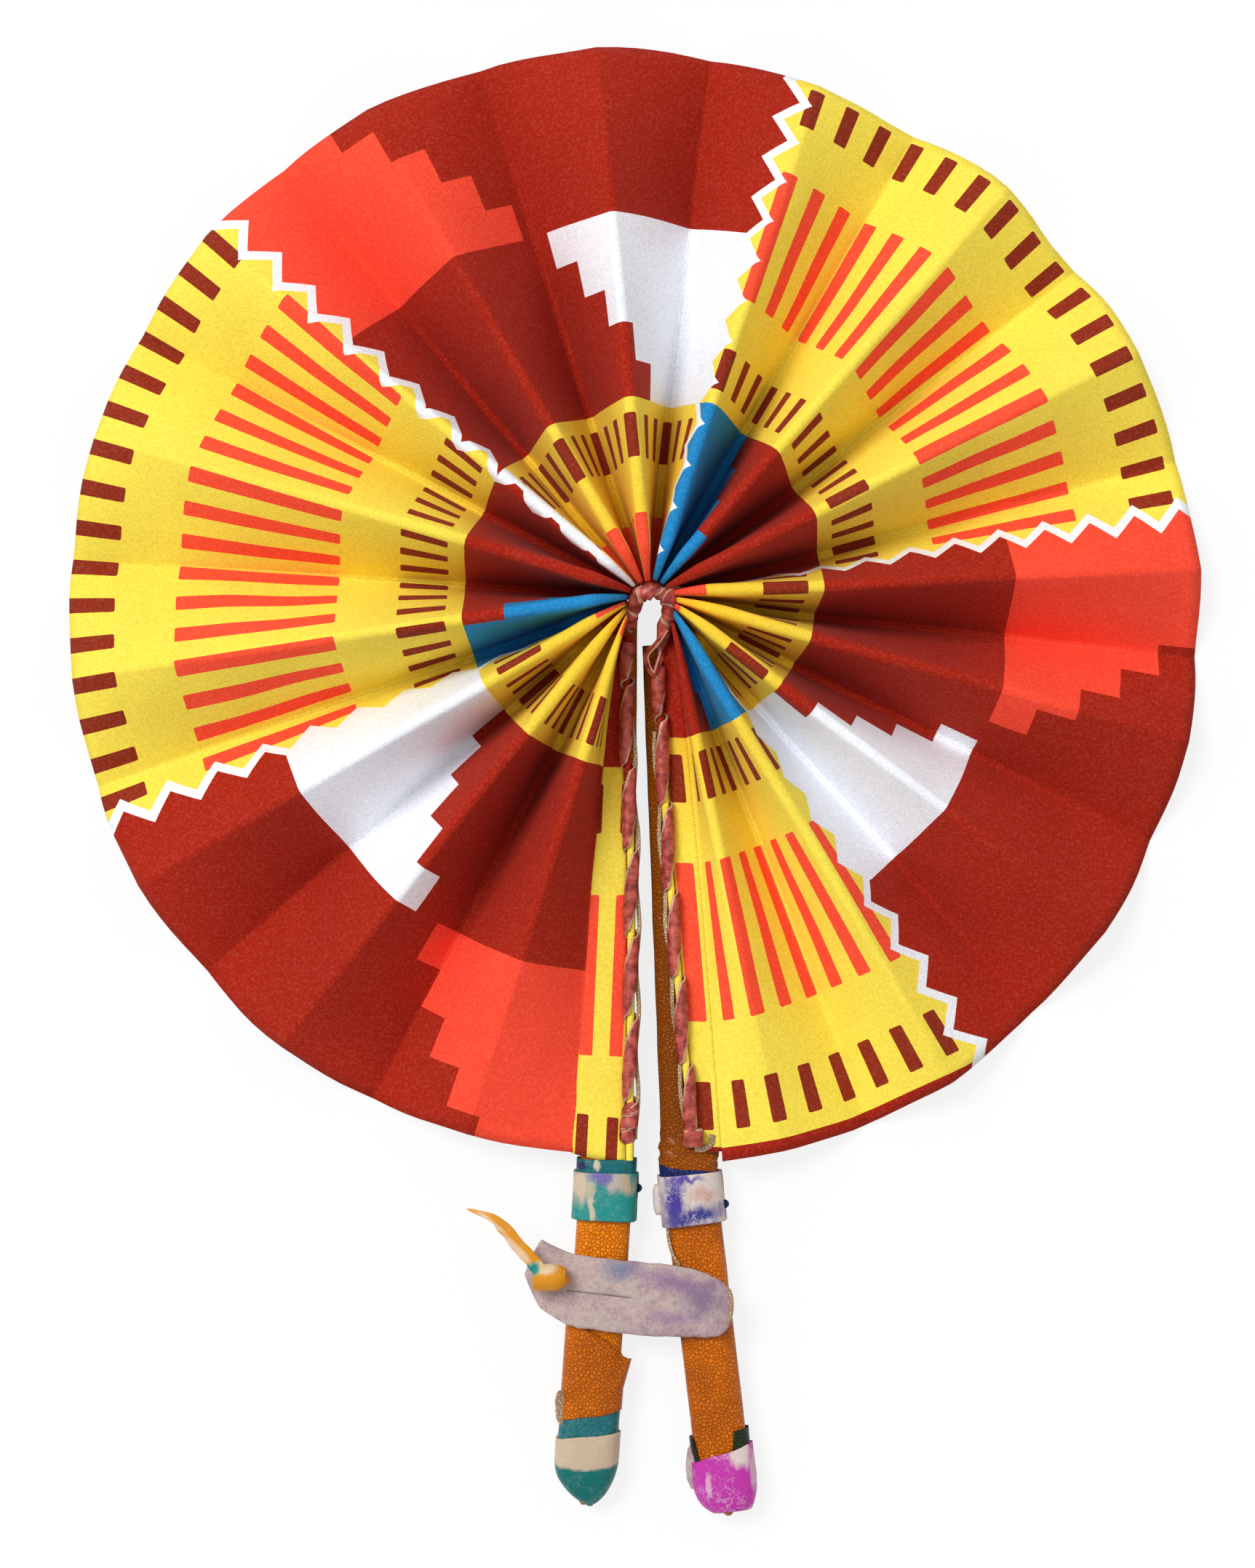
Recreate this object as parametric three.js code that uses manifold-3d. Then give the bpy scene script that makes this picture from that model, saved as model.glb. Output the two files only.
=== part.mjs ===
// Folding hand fan: a pleated cloth leaf that opens into a full disc between two leather covered sticks.
// Millimetres, +Z up. The fan lies open on its back: front towards +Z, sticks towards -Y, table at Z = 0.

import * as THREE from "three";
import { mergeVertices } from "three/addons/utils/BufferGeometryUtils.js";
import Module from "manifold-3d";

const wasm = await Module();
wasm.setup();

// Driving dimensions: the hub's place, measured from the middle of the fan's outline
const HUB_X = 4.6;
const HUB_Y = 47.6;

// The leaf's disc and its pleats. Angles run clockwise from straight down, as seen from the front.
const LEAF_RADIUS = 155;
const LEAF_OFF_HUB = new THREE.Vector2(-4.6, 1.0);
const RIDGE_ANGLES = [
  19, 40, 61.5, 83, 107, 130, 150.5, 174.5, 198, 220.5, 242.5, 266, 284, 305.5, 327.5, 346.5,
];
const LEAF_FROM = 8;
const LEAF_TO = 352.5;
const CLOTH = 0.5;
const CLOTH_PER_DEGREE = 2.87;
const FOLD_RADIUS = 2;
const EYE_RADIUS = 8;
const EYE_FROM = 60;
const EYE_TO = 305;
const LEAST_HEIGHT = 4;
const LEAST_OVER_STICK = 1.5;
const STICK_MARGIN = 1.4;
const STICK_FLANK = 5;
const END_PANEL = { from: 0.09, to: 0.983, inset: 0.35 };

// Sticks: a wooden lath in a leather sleeve, with bands and cuffs over the sleeve
const LATH_WIDTH = 13.2;
const LATH_THICKNESS = 7;
const SLEEVE_LEATHER = 0.7;
const BAND_LEATHER = 0.5;
const CUFF_LEATHER = 0.55;
const CAP_LEATHER = 1;
const WRAP_LEATHER = 0.45;
const CLEARANCE = 0.12;
const CAP_CLEARANCE = 0.4;
const GAP = 0.3;
// `taper` sets how the foot narrows to its tip: a half is round, and more is more pointed.
const BEND_Y = -150;
const LEFT = { headX: -10.8, headY: -2, footY: -247.6, lean: -0.0067, bend: -0.068, taper: 0.72 };
const RIGHT = { headX: 5.4, headY: -10, footY: -250.6, lean: 0.0377, bend: 0.083, taper: 0.45 };
const BEND_EASE = 12;
const RUN = 8;
const CORNER_SHARE = 0.42;
const POINT_LENGTH = 16;
const TIP_WIDTH = 0.1;
const TIP_THICKNESS = 0.2;

// Tops and feet of the bands, cuffs and caps along the sticks
const LEFT_CUFF = [-155.6, -168.8];
const RIGHT_CUFF = [-156.4, -169.9];
const BAND_SHOWS = 3.6;
const BAND_UNDER = 2;
const LEFT_CAP = [-228, -246.6];
const LEFT_BAND = [-222.5, -231.5];
const RIGHT_CAP = [-231, -248.2];
const RIGHT_BAND = [-226.2, -234];
const WRAP = { top: -193.5, foot: -221.5, slant: 19.5, knee: 0.4 };
const WRAP_CORNER = { top: -207, foot: -216, reach: 2.4 };
const KNOT_RADIUS = 1.3;
const ROLL_RADIUS = 1.5;
const ROLL_LENGTH = 7;
const FLAP_REACH = 1.8;
const LEFT_FLAP = [-215.5, -226.5];
const RIGHT_FLAP = [-232, -243];

// Lacing: a flat leather lace wound round the rolled cloth edge that runs down each stick
const LACE_WIDTH = 5;
const LACE_LEATHER = 0.5;
const PIPING_RADIUS = 1;
const LACE_PITCH = 21.5;
const LACE_START = 1;
const LACE_TOP = -7.5;
const LACE_FOOT = -146;
const RIGHT_LACE_TOP = -14;
const LEFT_LACE_ASIDE = 6.3;
const RIGHT_LACE_ASIDE = -3.3;
const RIGHT_LACE_DRIFT = 4.8;
const TUCK_HEIGHT = 1.8;
const HUB_LACE_RADIUS = 1.9;
// The lace's crossing over the eye: across, up the disc, and its height as a share of the arch
const HUB_LACE_ARCH = 9.5;
const HUB_LACE_ROUTE = [
  [-5.3, -1.6, 0.42], [-3.5, 3.9, 0.84], [0.2, 5.4, 1],
  [3.8, 3.7, 0.84], [5.3, -1.4, 0.47], [3.6, -7.5, 0.13],
];

// Clasp
const STRAP_SUEDE = 1.6;
const BUTTONHOLE_LENGTH = 17;
const BUTTONHOLE_WIDTH = 1;
const THONG_RADIUS = 1.2;
const TOGGLE_RADIUS = 3.7;
const TOGGLE_LENGTH = 10;
const BUTTONHOLE_FALL = 1.2;
const EYELET_CLEARANCE = 0.5;
const THONG_Y = -185;
const SLIT = { x: 21.2, y: -191, lip: 0.8, length: 8 };
const TAIL = { width: 4.8, tip: 1, leather: 1.2 };
const STRAP_OUTLINE = [
  [-29.7, -173.9], [-21, -177.6], [-8, -179.6], [6, -181], [15, -182.3], [20.4, -184.8], [22.4, -188.8],
  [22.8, -194.4], [20.9, -198.8], [16, -200.2], [2, -199.6], [-15, -198.2], [-22, -197], [-30.4, -192.6],
  [-34, -183.7],
];

// What follows from them
const sleeveWidth = LATH_WIDTH + 2 * (CLEARANCE + SLEEVE_LEATHER);
const sleeveThickness = LATH_THICKNESS + 2 * (CLEARANCE + SLEEVE_LEATHER);
const bandOver = CLEARANCE + BAND_LEATHER;
const cuffOver = bandOver + CLEARANCE + CUFF_LEATHER;
const capOver = bandOver + CAP_CLEARANCE + CAP_LEATHER;
const stickZ = sleeveThickness / 2 + capOver;
const sleeveTop = stickZ + sleeveThickness / 2;
const clothOnStick = sleeveTop + GAP + CLOTH / 2;
const laceRadius = (PIPING_RADIUS + GAP) * 1.15;
const coilRadius = laceRadius + LACE_LEATHER;
const laceZ = sleeveTop + GAP + coilRadius;

const fan = new THREE.Group();
fan.position.set(HUB_X, HUB_Y, 0);

const finishes = {
  print: { color: 0xf2cf30, roughness: 0.8, metalness: 0 },
  redPrint: { color: 0x8f1d18, roughness: 0.8, metalness: 0 },
  wood: { color: 0xb08050, roughness: 0.7, metalness: 0 },
  brownLeather: { color: 0xb9650f, roughness: 0.4, metalness: 0 },
  lace: { color: 0xa5433b, roughness: 0.5, metalness: 0 },
  tealLeather: { color: 0x1f8a86, roughness: 0.45, metalness: 0 },
  marbledLeather: { color: 0xb9b7a8, roughness: 0.45, metalness: 0 },
  blueLeather: { color: 0x2a3f8f, roughness: 0.45, metalness: 0 },
  magentaLeather: { color: 0xc23ab5, roughness: 0.45, metalness: 0 },
  greenLeather: { color: 0x2c3a24, roughness: 0.5, metalness: 0 },
  suede: { color: 0xc4aeb0, roughness: 0.9, metalness: 0 },
  ochreLeather: { color: 0xd8941a, roughness: 0.6, metalness: 0 },
};
const materials = Object.fromEntries(
  Object.entries(finishes).map(([name, look]) => [name, new THREE.MeshStandardMaterial(look)]),
);

function addPiece(name, geometry, finish) {
  const mesh = new THREE.Mesh(geometry, materials[finish]);
  mesh.name = name;
  fan.add(mesh);
  return mesh;
}

// Solid builders

function geometryFrom(points, faces) {
  let volume = 0;
  for (const [a, b, c] of faces) {
    volume += points[a].dot(new THREE.Vector3().crossVectors(points[b], points[c]));
  }
  const outward = volume < 0 ? faces.map(([a, b, c]) => [a, c, b]) : faces;
  const geometry = new THREE.BufferGeometry().setFromPoints(points);
  geometry.setIndex(outward.flat());
  geometry.computeVertexNormals();
  return geometry;
}

// Joins closed rings of as many points each. A tube with a bore passes `hollow`: its rings run down the
// outside and back up the inside. Otherwise the first and last ring are closed by a fan round their middle.
function skin(rings, hollow = false) {
  const count = rings[0].length;
  const points = rings.flat();
  const faces = [];
  const joins = hollow ? rings.length : rings.length - 1;
  for (let i = 0; i < joins; i += 1) {
    const next = (i + 1) % rings.length;
    for (let j = 0; j < count; j += 1) {
      const k = (j + 1) % count;
      const [a, b, c, d] = [i * count + j, i * count + k, next * count + k, next * count + j];
      faces.push([a, b, c], [a, c, d]);
    }
  }
  if (!hollow) {
    for (const [start, flip] of [[0, true], [(rings.length - 1) * count, false]]) {
      const middle = new THREE.Vector3();
      for (let j = 0; j < count; j += 1) middle.addScaledVector(points[start + j], 1 / count);
      points.push(middle);
      for (let j = 0; j < count; j += 1) {
        const edge = [start + j, start + ((j + 1) % count)];
        faces.push(flip ? [points.length - 1, edge[1], edge[0]] : [points.length - 1, edge[0], edge[1]]);
      }
    }
  }
  return geometryFrom(points, faces);
}

// A sheet with thickness: `front` and `back` are grids of points, as rows of equal length.
function slab(front, back) {
  const rows = front.length;
  const columns = front[0].length;
  const points = [...front.flat(), ...back.flat()];
  const half = rows * columns;
  const faces = [];
  for (let i = 0; i < rows - 1; i += 1) {
    for (let j = 0; j < columns - 1; j += 1) {
      const a = i * columns + j;
      const [b, c, d] = [a + 1, a + columns + 1, a + columns];
      faces.push([a, b, c], [a, c, d], [a + half, c + half, b + half], [a + half, d + half, c + half]);
    }
  }
  const rim = [];
  for (let j = 0; j < columns - 1; j += 1) rim.push(j);
  for (let i = 0; i < rows - 1; i += 1) rim.push(i * columns + columns - 1);
  for (let j = columns - 1; j > 0; j -= 1) rim.push((rows - 1) * columns + j);
  for (let i = rows - 1; i > 0; i -= 1) rim.push(i * columns);
  rim.forEach((a, i) => {
    const b = rim[(i + 1) % rim.length];
    faces.push([a, a + half, b + half], [a, b + half, b]);
  });
  return geometryFrom(points, faces);
}

function toSolid(geometry) {
  const bare = geometry.clone();
  bare.deleteAttribute("normal");
  bare.deleteAttribute("uv");
  const merged = mergeVertices(bare, 1e-4);
  return new wasm.Manifold(new wasm.Mesh({
    numProp: 3,
    vertProperties: new Float32Array(merged.attributes.position.array),
    triVerts: new Uint32Array(merged.index.array),
  }));
}

function fromSolid(solid) {
  const mesh = solid.getMesh();
  const geometry = new THREE.BufferGeometry();
  geometry.setAttribute("position", new THREE.BufferAttribute(new Float32Array(mesh.vertProperties), 3));
  geometry.setIndex(new THREE.BufferAttribute(new Uint32Array(mesh.triVerts), 1));
  geometry.computeVertexNormals();
  return geometry;
}

const steps = (from, to, count) =>
  Array.from({ length: count + 1 }, (_, i) => from + ((to - from) * i) / count);

// Sticks

// The middle line of a stick: straight along the leaf, then bent outward along the handle in short runs.
// Every piece round a stick has a ring at each joint of the runs, so that they nest.
function bentX(stick, y) {
  const past = Math.max(0, BEND_Y - y);
  return stick.headX + stick.lean * (stick.headY - y) + (stick.bend * past * past) / (past + BEND_EASE);
}

function onRuns(stick, y, value) {
  const past = (BEND_Y - y) / RUN;
  if (past <= 0) return value(y);
  const before = BEND_Y - Math.floor(past) * RUN;
  return THREE.MathUtils.lerp(value(before), value(before - RUN), past - Math.floor(past));
}

const middleX = (stick, y) => onRuns(stick, y, (at) => bentX(stick, at));
const slopeAt = (stick, y) => onRuns(stick, y, (at) => bentX(stick, at - 0.5) - bentX(stick, at + 0.5));

function ringHeights(stick, top, foot) {
  const heights = [top];
  for (let y = BEND_Y; y > foot + 0.3; y -= RUN) {
    if (y < top - 0.3) heights.push(y);
  }
  return [...heights, foot];
}

// The stick's section at y: a rounded rectangle, flat in front and behind, square to the middle line.
function stickRing(stick, y, width, thickness) {
  const corner = Math.min(width, thickness) * CORNER_SHARE;
  const slope = slopeAt(stick, y);
  const length = Math.hypot(1, slope);
  const ring = [];
  const corners = [[1, 1, 0], [-1, 1, 90], [-1, -1, 180], [1, -1, 270]];
  for (const [sideX, sideZ, from] of corners) {
    for (const degrees of [0, 30, 60, 90]) {
      const angle = THREE.MathUtils.degToRad(from + degrees);
      const across = sideX * (width / 2 - corner) + corner * Math.cos(angle);
      const up = sideZ * (thickness / 2 - corner) + corner * Math.sin(angle);
      const x = middleX(stick, y) + across / length;
      ring.push(new THREE.Vector3(x, y + (across * slope) / length, stickZ + up));
    }
  }
  return ring;
}

// A leather tube round the stick from `top` down to `foot`, `over` proud of the sleeve, `leather` thick.
function stickTube(stick, top, foot, over, leather) {
  const heights = ringHeights(stick, top, foot);
  const ringOver = (y, grow) => stickRing(stick, y, sleeveWidth + 2 * grow, sleeveThickness + 2 * grow);
  const outside = heights.map((y) => ringOver(y, over));
  const inside = heights.reverse().map((y) => ringOver(y, over - leather));
  return skin([...outside, ...inside], true);
}

// The lath's foot is cut to a rounded point: its width at y, as a share of the whole.
function footWidth(stick, y, least) {
  const down = Math.max(0, stick.footY + POINT_LENGTH - y) / POINT_LENGTH;
  return Math.max(least, Math.max(0, 1 - down ** 1.7) ** stick.taper);
}

function addLath(name, stick) {
  const straight = ringHeights(stick, stick.headY, stick.footY + POINT_LENGTH);
  const point = steps(stick.footY + POINT_LENGTH, stick.footY, 5).slice(1);
  const rings = [...straight, ...point].map((y) => {
    const share = footWidth(stick, y, TIP_WIDTH);
    return stickRing(stick, y, LATH_WIDTH * share, LATH_THICKNESS * Math.max(share, TIP_THICKNESS));
  });
  addPiece(name, skin(rings), "wood");
}

addLath("left_lath", LEFT);
addLath("right_lath", RIGHT);

const leftSleeveFoot = LEFT.footY + POINT_LENGTH;
const rightSleeveFoot = RIGHT.footY + POINT_LENGTH;
addPiece("left_sleeve", stickTube(LEFT, LEFT.headY, leftSleeveFoot, 0, SLEEVE_LEATHER), "brownLeather");
addPiece("right_sleeve", stickTube(RIGHT, RIGHT.headY, rightSleeveFoot, 0, SLEEVE_LEATHER), "brownLeather");

function addCuff(side, stick, [top, foot], bandFinish, cuffFinish) {
  const bandTop = top + BAND_SHOWS;
  const bandFoot = foot + BAND_UNDER;
  addPiece(`${side}_cuff_lining`, stickTube(stick, bandTop, bandFoot, bandOver, BAND_LEATHER), bandFinish);
  addPiece(`${side}_cuff`, stickTube(stick, top, foot, cuffOver, CUFF_LEATHER), cuffFinish);
}

addCuff("left", LEFT, LEFT_CUFF, "tealLeather", "marbledLeather");
addCuff("right", RIGHT, RIGHT_CUFF, "blueLeather", "marbledLeather");

addPiece("left_foot_band", stickTube(LEFT, ...LEFT_BAND, bandOver, BAND_LEATHER), "tealLeather");
addPiece("right_foot_band", stickTube(RIGHT, ...RIGHT_BAND, bandOver, BAND_LEATHER), "greenLeather");

// A cup of leather round the lath's tip: it narrows with the lath and stays a gap clear of it.
function addFootCap(name, stick, [top, foot], finish) {
  const shoulder = stick.footY + POINT_LENGTH;
  const heights = [...steps(top, shoulder, 2), ...steps(shoulder, foot, 6).slice(1)];
  const wide = sleeveWidth + 2 * capOver;
  const thick = sleeveThickness + 2 * capOver;
  const wall = 2 * CAP_LEATHER;
  const ringAt = (y, inside) => {
    const share = footWidth(stick, y, TIP_WIDTH);
    const lathWide = LATH_WIDTH * share + 2 * GAP;
    const lathThick = LATH_THICKNESS * Math.max(share, TIP_THICKNESS) + 2 * GAP;
    if (inside && y >= shoulder) return stickRing(stick, y, wide - wall, thick - wall);
    if (inside) return stickRing(stick, y, lathWide, lathThick);
    const outerWide = Math.max(wide * share, lathWide + wall);
    const outerThick = Math.max(thick * share, lathThick + wall);
    return stickRing(stick, y, outerWide, outerThick);
  };
  const outside = heights.map((y) => ringAt(y, false));
  const inside = heights.reverse().map((y) => ringAt(y, true));
  addPiece(name, skin([...outside, ...inside], true), finish);
}

addFootCap("left_foot_cap", LEFT, LEFT_CAP, "tealLeather");
addFootCap("right_foot_cap", RIGHT, RIGHT_CAP, "magentaLeather");

// The wrap round the left handle below the strap: its upper edge is cut to a slant, down to the corner of its
// free edge, which stands out from the stick.
function addHandleWrap() {
  const over = CLEARANCE + WRAP_LEATHER;
  const tube = stickTube(LEFT, WRAP.top, WRAP.foot, over, WRAP_LEATHER);
  const middle = middleX(LEFT, WRAP.top);
  const reach = sleeveWidth;
  const cut = new THREE.Shape([
    new THREE.Vector2(middle - reach, WRAP.top + reach),
    new THREE.Vector2(middle + reach, WRAP.top + reach),
    new THREE.Vector2(middle + reach, WRAP.top - WRAP.slant),
    new THREE.Vector2(middle - reach * WRAP.knee, WRAP.top - GAP),
    new THREE.Vector2(middle - reach, WRAP.top - GAP),
  ]);
  const knife = new THREE.ExtrudeGeometry(cut, { depth: 2 * stickZ + reach, bevelEnabled: false });
  const inWall = (y) => middleX(LEFT, y) + sleeveWidth / 2 + CLEARANCE + WRAP_LEATHER / 2;
  const corner = new THREE.Shape([
    ...steps(WRAP_CORNER.top, WRAP_CORNER.foot, 3).map((y) => new THREE.Vector2(inWall(y), y)),
    new THREE.Vector2(inWall(WRAP_CORNER.top) + WRAP_CORNER.reach, WRAP_CORNER.top),
  ]);
  const standing = new THREE.ExtrudeGeometry(corner, { depth: WRAP_LEATHER, bevelEnabled: false });
  standing.translate(0, 0, stickZ);
  const wrap = toSolid(tube).subtract(toSolid(knife)).add(toSolid(standing));
  addPiece("left_handle_wrap", fromSolid(wrap), "brownLeather");
}

addHandleWrap();

// A small knot of soft leather beside a cuff
function addKnot(name, stick, y, side, over, radius, finish) {
  const knot = new THREE.SphereGeometry(radius, 10, 6);
  const out = sleeveWidth / 2 + over + GAP + radius * 0.8;
  knot.scale(0.8, 1.2, 1);
  knot.translate(middleX(stick, y) + side * out, y + side * out * slopeAt(stick, y), stickZ);
  addPiece(name, knot, finish);
}

addKnot("left_cuff_knot", LEFT, LEFT_CUFF[0] - 4.5, 1, cuffOver, KNOT_RADIUS, "blueLeather");
addKnot("right_cuff_knot", RIGHT, RIGHT_CUFF[0] - 8.5, 1, cuffOver, KNOT_RADIUS, "blueLeather");

// The rolled end of the right cuff, at its left side
function addCuffRoll() {
  const radius = ROLL_RADIUS;
  const y = (RIGHT_CUFF[0] + RIGHT_CUFF[1]) / 2;
  const roll = new THREE.CapsuleGeometry(radius, ROLL_LENGTH, 3, 8);
  const out = sleeveWidth / 2 + cuffOver + GAP + radius;
  roll.rotateZ(slopeAt(RIGHT, y));
  roll.translate(middleX(RIGHT, y) - out, y, stickZ + 1);
  addPiece("right_cuff_roll", roll, "marbledLeather");
}

addCuffRoll();

// Upright flaps of thin leather beside the foot of each stick
function addSideFlap(name, stick, [top, foot], side, over, finish) {
  const out = sleeveWidth / 2 + over + GAP;
  const front = [];
  const back = [];
  for (const y of steps(top, foot, 4)) {
    const slope = slopeAt(stick, y);
    const reach = FLAP_REACH * Math.sin((Math.PI * (y - foot + 3)) / (top - foot + 6));
    const rowFront = [];
    const rowBack = [];
    for (const z of [-reach, 0, reach]) {
      const near = middleX(stick, y) + side * out;
      rowFront.push(new THREE.Vector3(near + side * BAND_LEATHER, y + side * out * slope, stickZ + 1 + z));
      rowBack.push(new THREE.Vector3(near, y + side * out * slope, stickZ + 1 + z));
    }
    front.push(rowFront);
    back.push(rowBack);
  }
  addPiece(name, slab(front, back), finish);
}

addSideFlap("left_foot_flap", LEFT, LEFT_FLAP, -1, bandOver, "suede");
addSideFlap("right_foot_flap", RIGHT, RIGHT_FLAP, -1, capOver, "suede");

// Leaf

const down = (degrees) => {
  const angle = THREE.MathUtils.degToRad(degrees);
  return new THREE.Vector2(-Math.sin(angle), -Math.cos(angle));
};

// A place on the disc's edge, seen from the hub at an angle
function rimPoint(degrees) {
  const direction = down(degrees);
  const along = direction.dot(LEAF_OFF_HUB);
  const reach = along + Math.sqrt(LEAF_RADIUS ** 2 - LEAF_OFF_HUB.lengthSq() + along ** 2);
  return direction.multiplyScalar(reach);
}

const pleatCount = RIDGE_ANGLES.length;

// Fold n runs from the eye to the rim: even folds are valleys, from 0 to twice the pleats, and odd ones ridges.
function foldAngle(n) {
  if (n % 2 === 1) return RIDGE_ANGLES[(n - 1) / 2];
  if (n === 0) return LEAF_FROM;
  if (n === 2 * pleatCount) return LEAF_TO;
  return (RIDGE_ANGLES[n / 2 - 1] + RIDGE_ANGLES[n / 2]) / 2;
}

function foldPoint(n, out) {
  const eyeAngle = EYE_FROM + ((EYE_TO - EYE_FROM) * n) / (2 * pleatCount);
  return down(eyeAngle).multiplyScalar(EYE_RADIUS).lerp(rimPoint(foldAngle(n)), out);
}

// The height that the cloth lies on: the table, or a stick's front where it crosses one.
function floorZ(point) {
  let lift = 0;
  for (const stick of [LEFT, RIGHT]) {
    const aside = Math.abs(point.x - middleX(stick, point.y)) - sleeveWidth / 2 - STICK_MARGIN;
    const above = point.y - stick.headY - STICK_MARGIN;
    const away = Math.hypot(Math.max(0, aside), Math.max(0, above));
    lift = Math.max(lift, 1 - THREE.MathUtils.smoothstep(away, 0, STICK_FLANK));
  }
  return THREE.MathUtils.lerp(CLOTH / 2, clothOnStick, lift);
}

// The half wave from a valley to a ridge: two arcs joined by a straight panel, as [along, up, normal] rows.
function halfWave(run, rise) {
  const bend = Math.min(FOLD_RADIUS, 0.48 * run);
  const reach = Math.hypot(run, rise - 2 * bend);
  const lean = Math.atan2(rise - 2 * bend, run) + Math.asin(Math.min(1, (2 * bend) / reach));
  const arc = [0, 0.5 * lean, lean];
  const valley = arc.map((a) => [bend * Math.sin(a), bend * (1 - Math.cos(a)), a]);
  const ridge = [...arc].reverse().map((a) => [run - bend * Math.sin(a), rise - bend * (1 - Math.cos(a)), a]);
  return [...valley, ...ridge];
}

// The row of a pleat's cloth at a share `out` of the way from the eye to the rim. Its two panels differ in
// width, as their valleys lie halfway to the next ridges, so their one ridge takes their mean height.
function pleatRow(pleat, out) {
  const [before, ridge, after] = [2 * pleat, 2 * pleat + 1, 2 * pleat + 2].map((n) => foldPoint(n, out));
  const panels = [[before, 2 * pleat], [after, 2 * pleat + 2]].map(([valley, fold]) => {
    const width = CLOTH_PER_DEGREE * Math.abs(foldAngle(2 * pleat + 1) - foldAngle(fold));
    const across = new THREE.Vector2().subVectors(ridge, valley);
    const run = across.length() - GAP / 2;
    const height = Math.sqrt(Math.max(width ** 2 - run ** 2, LEAST_HEIGHT ** 2));
    return { valley, across: across.normalize(), run, height, low: floorZ(valley) };
  });
  const [first, second] = panels;
  const ridgeZ = Math.max(
    (CLOTH + first.height + second.height) / 2,
    Math.max(first.low, second.low) + LEAST_OVER_STICK,
  );
  const halves = panels.map(({ valley, across, run, low }) =>
    halfWave(run, ridgeZ - low).map(([along, up, angle]) => {
      const place = valley.clone().addScaledVector(across, along + GAP / 2);
      const aside = -Math.sin(angle);
      const lift = new THREE.Vector3(aside * across.x, aside * across.y, Math.cos(angle));
      const middle = new THREE.Vector3(place.x, place.y, low + up);
      return [CLOTH / 2, -CLOTH / 2].map((side) => middle.clone().addScaledVector(lift, side));
    }),
  );
  const row = [...halves[0], ...halves[1].reverse().slice(1)];
  return [row.map(([front]) => front), row.map(([, back]) => back)];
}

const OPEN_STATIONS = [0, 0.04, 0.1, 0.22, 0.5, 1];
const STICK_STATIONS = [0, 0.02, 0.045, 0.075, 0.11, 0.15, 0.2, 0.27, 0.36, 0.5, 0.72, 1];

for (let pleat = 0; pleat < pleatCount; pleat += 1) {
  const bySticks = pleat < 3 || pleat > pleatCount - 4;
  const rows = (bySticks ? STICK_STATIONS : OPEN_STATIONS).map((out) => pleatRow(pleat, out));
  const geometry = slab(rows.map(([front]) => front), rows.map(([, back]) => back));
  addPiece(`pleat_${String(pleat + 1).padStart(2, "0")}`, geometry, pleat % 3 ? "print" : "redPrint");
}

// Lacing

const leftLaceX = (y) => middleX(LEFT, y) + LEFT_LACE_ASIDE;
const rightLaceX = (y) => {
  const share = (LACE_TOP - y) / (LACE_TOP - LACE_FOOT);
  return middleX(RIGHT, y) + RIGHT_LACE_ASIDE + RIGHT_LACE_DRIFT * share * share;
};

function addPiping(name, lineX, top) {
  const rings = steps(top, LACE_FOOT, 8).map((y) => {
    const ring = [];
    for (let i = 0; i < 8; i += 1) {
      const angle = (Math.PI * 2 * i) / 8;
      const x = lineX(y) + PIPING_RADIUS * Math.cos(angle);
      ring.push(new THREE.Vector3(x, y, laceZ + PIPING_RADIUS * Math.sin(angle)));
    }
    return ring;
  });
  addPiece(name, skin(rings), "print");
}

// The lace winds round the piping: each row crosses the strip's width, bent to the coil's round.
function addLace(name, lineX, top) {
  const radius = laceRadius;
  const steep = Math.atan2(2 * Math.PI * radius, LACE_PITCH);
  const overhang = (LACE_WIDTH / 2) * Math.sin(steep);
  const start = top - LACE_START - overhang;
  const turns = (start - LACE_FOOT - overhang) / LACE_PITCH;
  const count = Math.round(turns * 12);
  const front = [];
  const back = [];
  for (let i = 0; i <= count; i += 1) {
    const turn = (turns * i) / count;
    const rows = [-1, -0.5, 0, 0.5, 1].map((side) => {
      const y = start - turn * LACE_PITCH + side * overhang;
      const angle = 2 * Math.PI * turn + (side * (LACE_WIDTH / 2) * Math.cos(steep)) / radius;
      return [radius, radius + LACE_LEATHER].map(
        (r) => new THREE.Vector3(lineX(y) + r * Math.cos(angle), y, laceZ + r * Math.sin(angle)),
      );
    });
    back.push(rows.map(([inner]) => inner));
    front.push(rows.map(([, outer]) => outer));
  }
  addPiece(name, slab(front, back), "lace");
}

addPiping("left_piping", leftLaceX, LACE_TOP);
addPiping("right_piping", rightLaceX, RIGHT_LACE_TOP);
addLace("left_lace", leftLaceX, LACE_TOP);
addLace("right_lace", rightLaceX, RIGHT_LACE_TOP);

// The lace crosses from stick to stick over the eye, and holds the pleats' inner ends.
function addHubLace() {
  const route = new THREE.CatmullRomCurve3([
    new THREE.Vector3(leftLaceX(LACE_TOP) + 0.3, LACE_TOP + GAP + 0.4, laceZ + 0.2),
    ...HUB_LACE_ROUTE.map(([x, y, share]) => new THREE.Vector3(x, y, laceZ + HUB_LACE_ARCH * share)),
    new THREE.Vector3(rightLaceX(RIGHT_LACE_TOP), RIGHT_LACE_TOP + GAP + 0.4, laceZ + 0.2),
  ]);
  const section = new THREE.Shape().absellipse(0, 0, HUB_LACE_RADIUS, HUB_LACE_RADIUS, 0, 2 * Math.PI);
  const geometry = new THREE.ExtrudeGeometry(section, {
    steps: 26,
    curveSegments: 4,
    extrudePath: route,
    bevelEnabled: false,
  });
  addPiece("hub_lace", geometry, "lace");
}

addHubLace();

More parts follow.
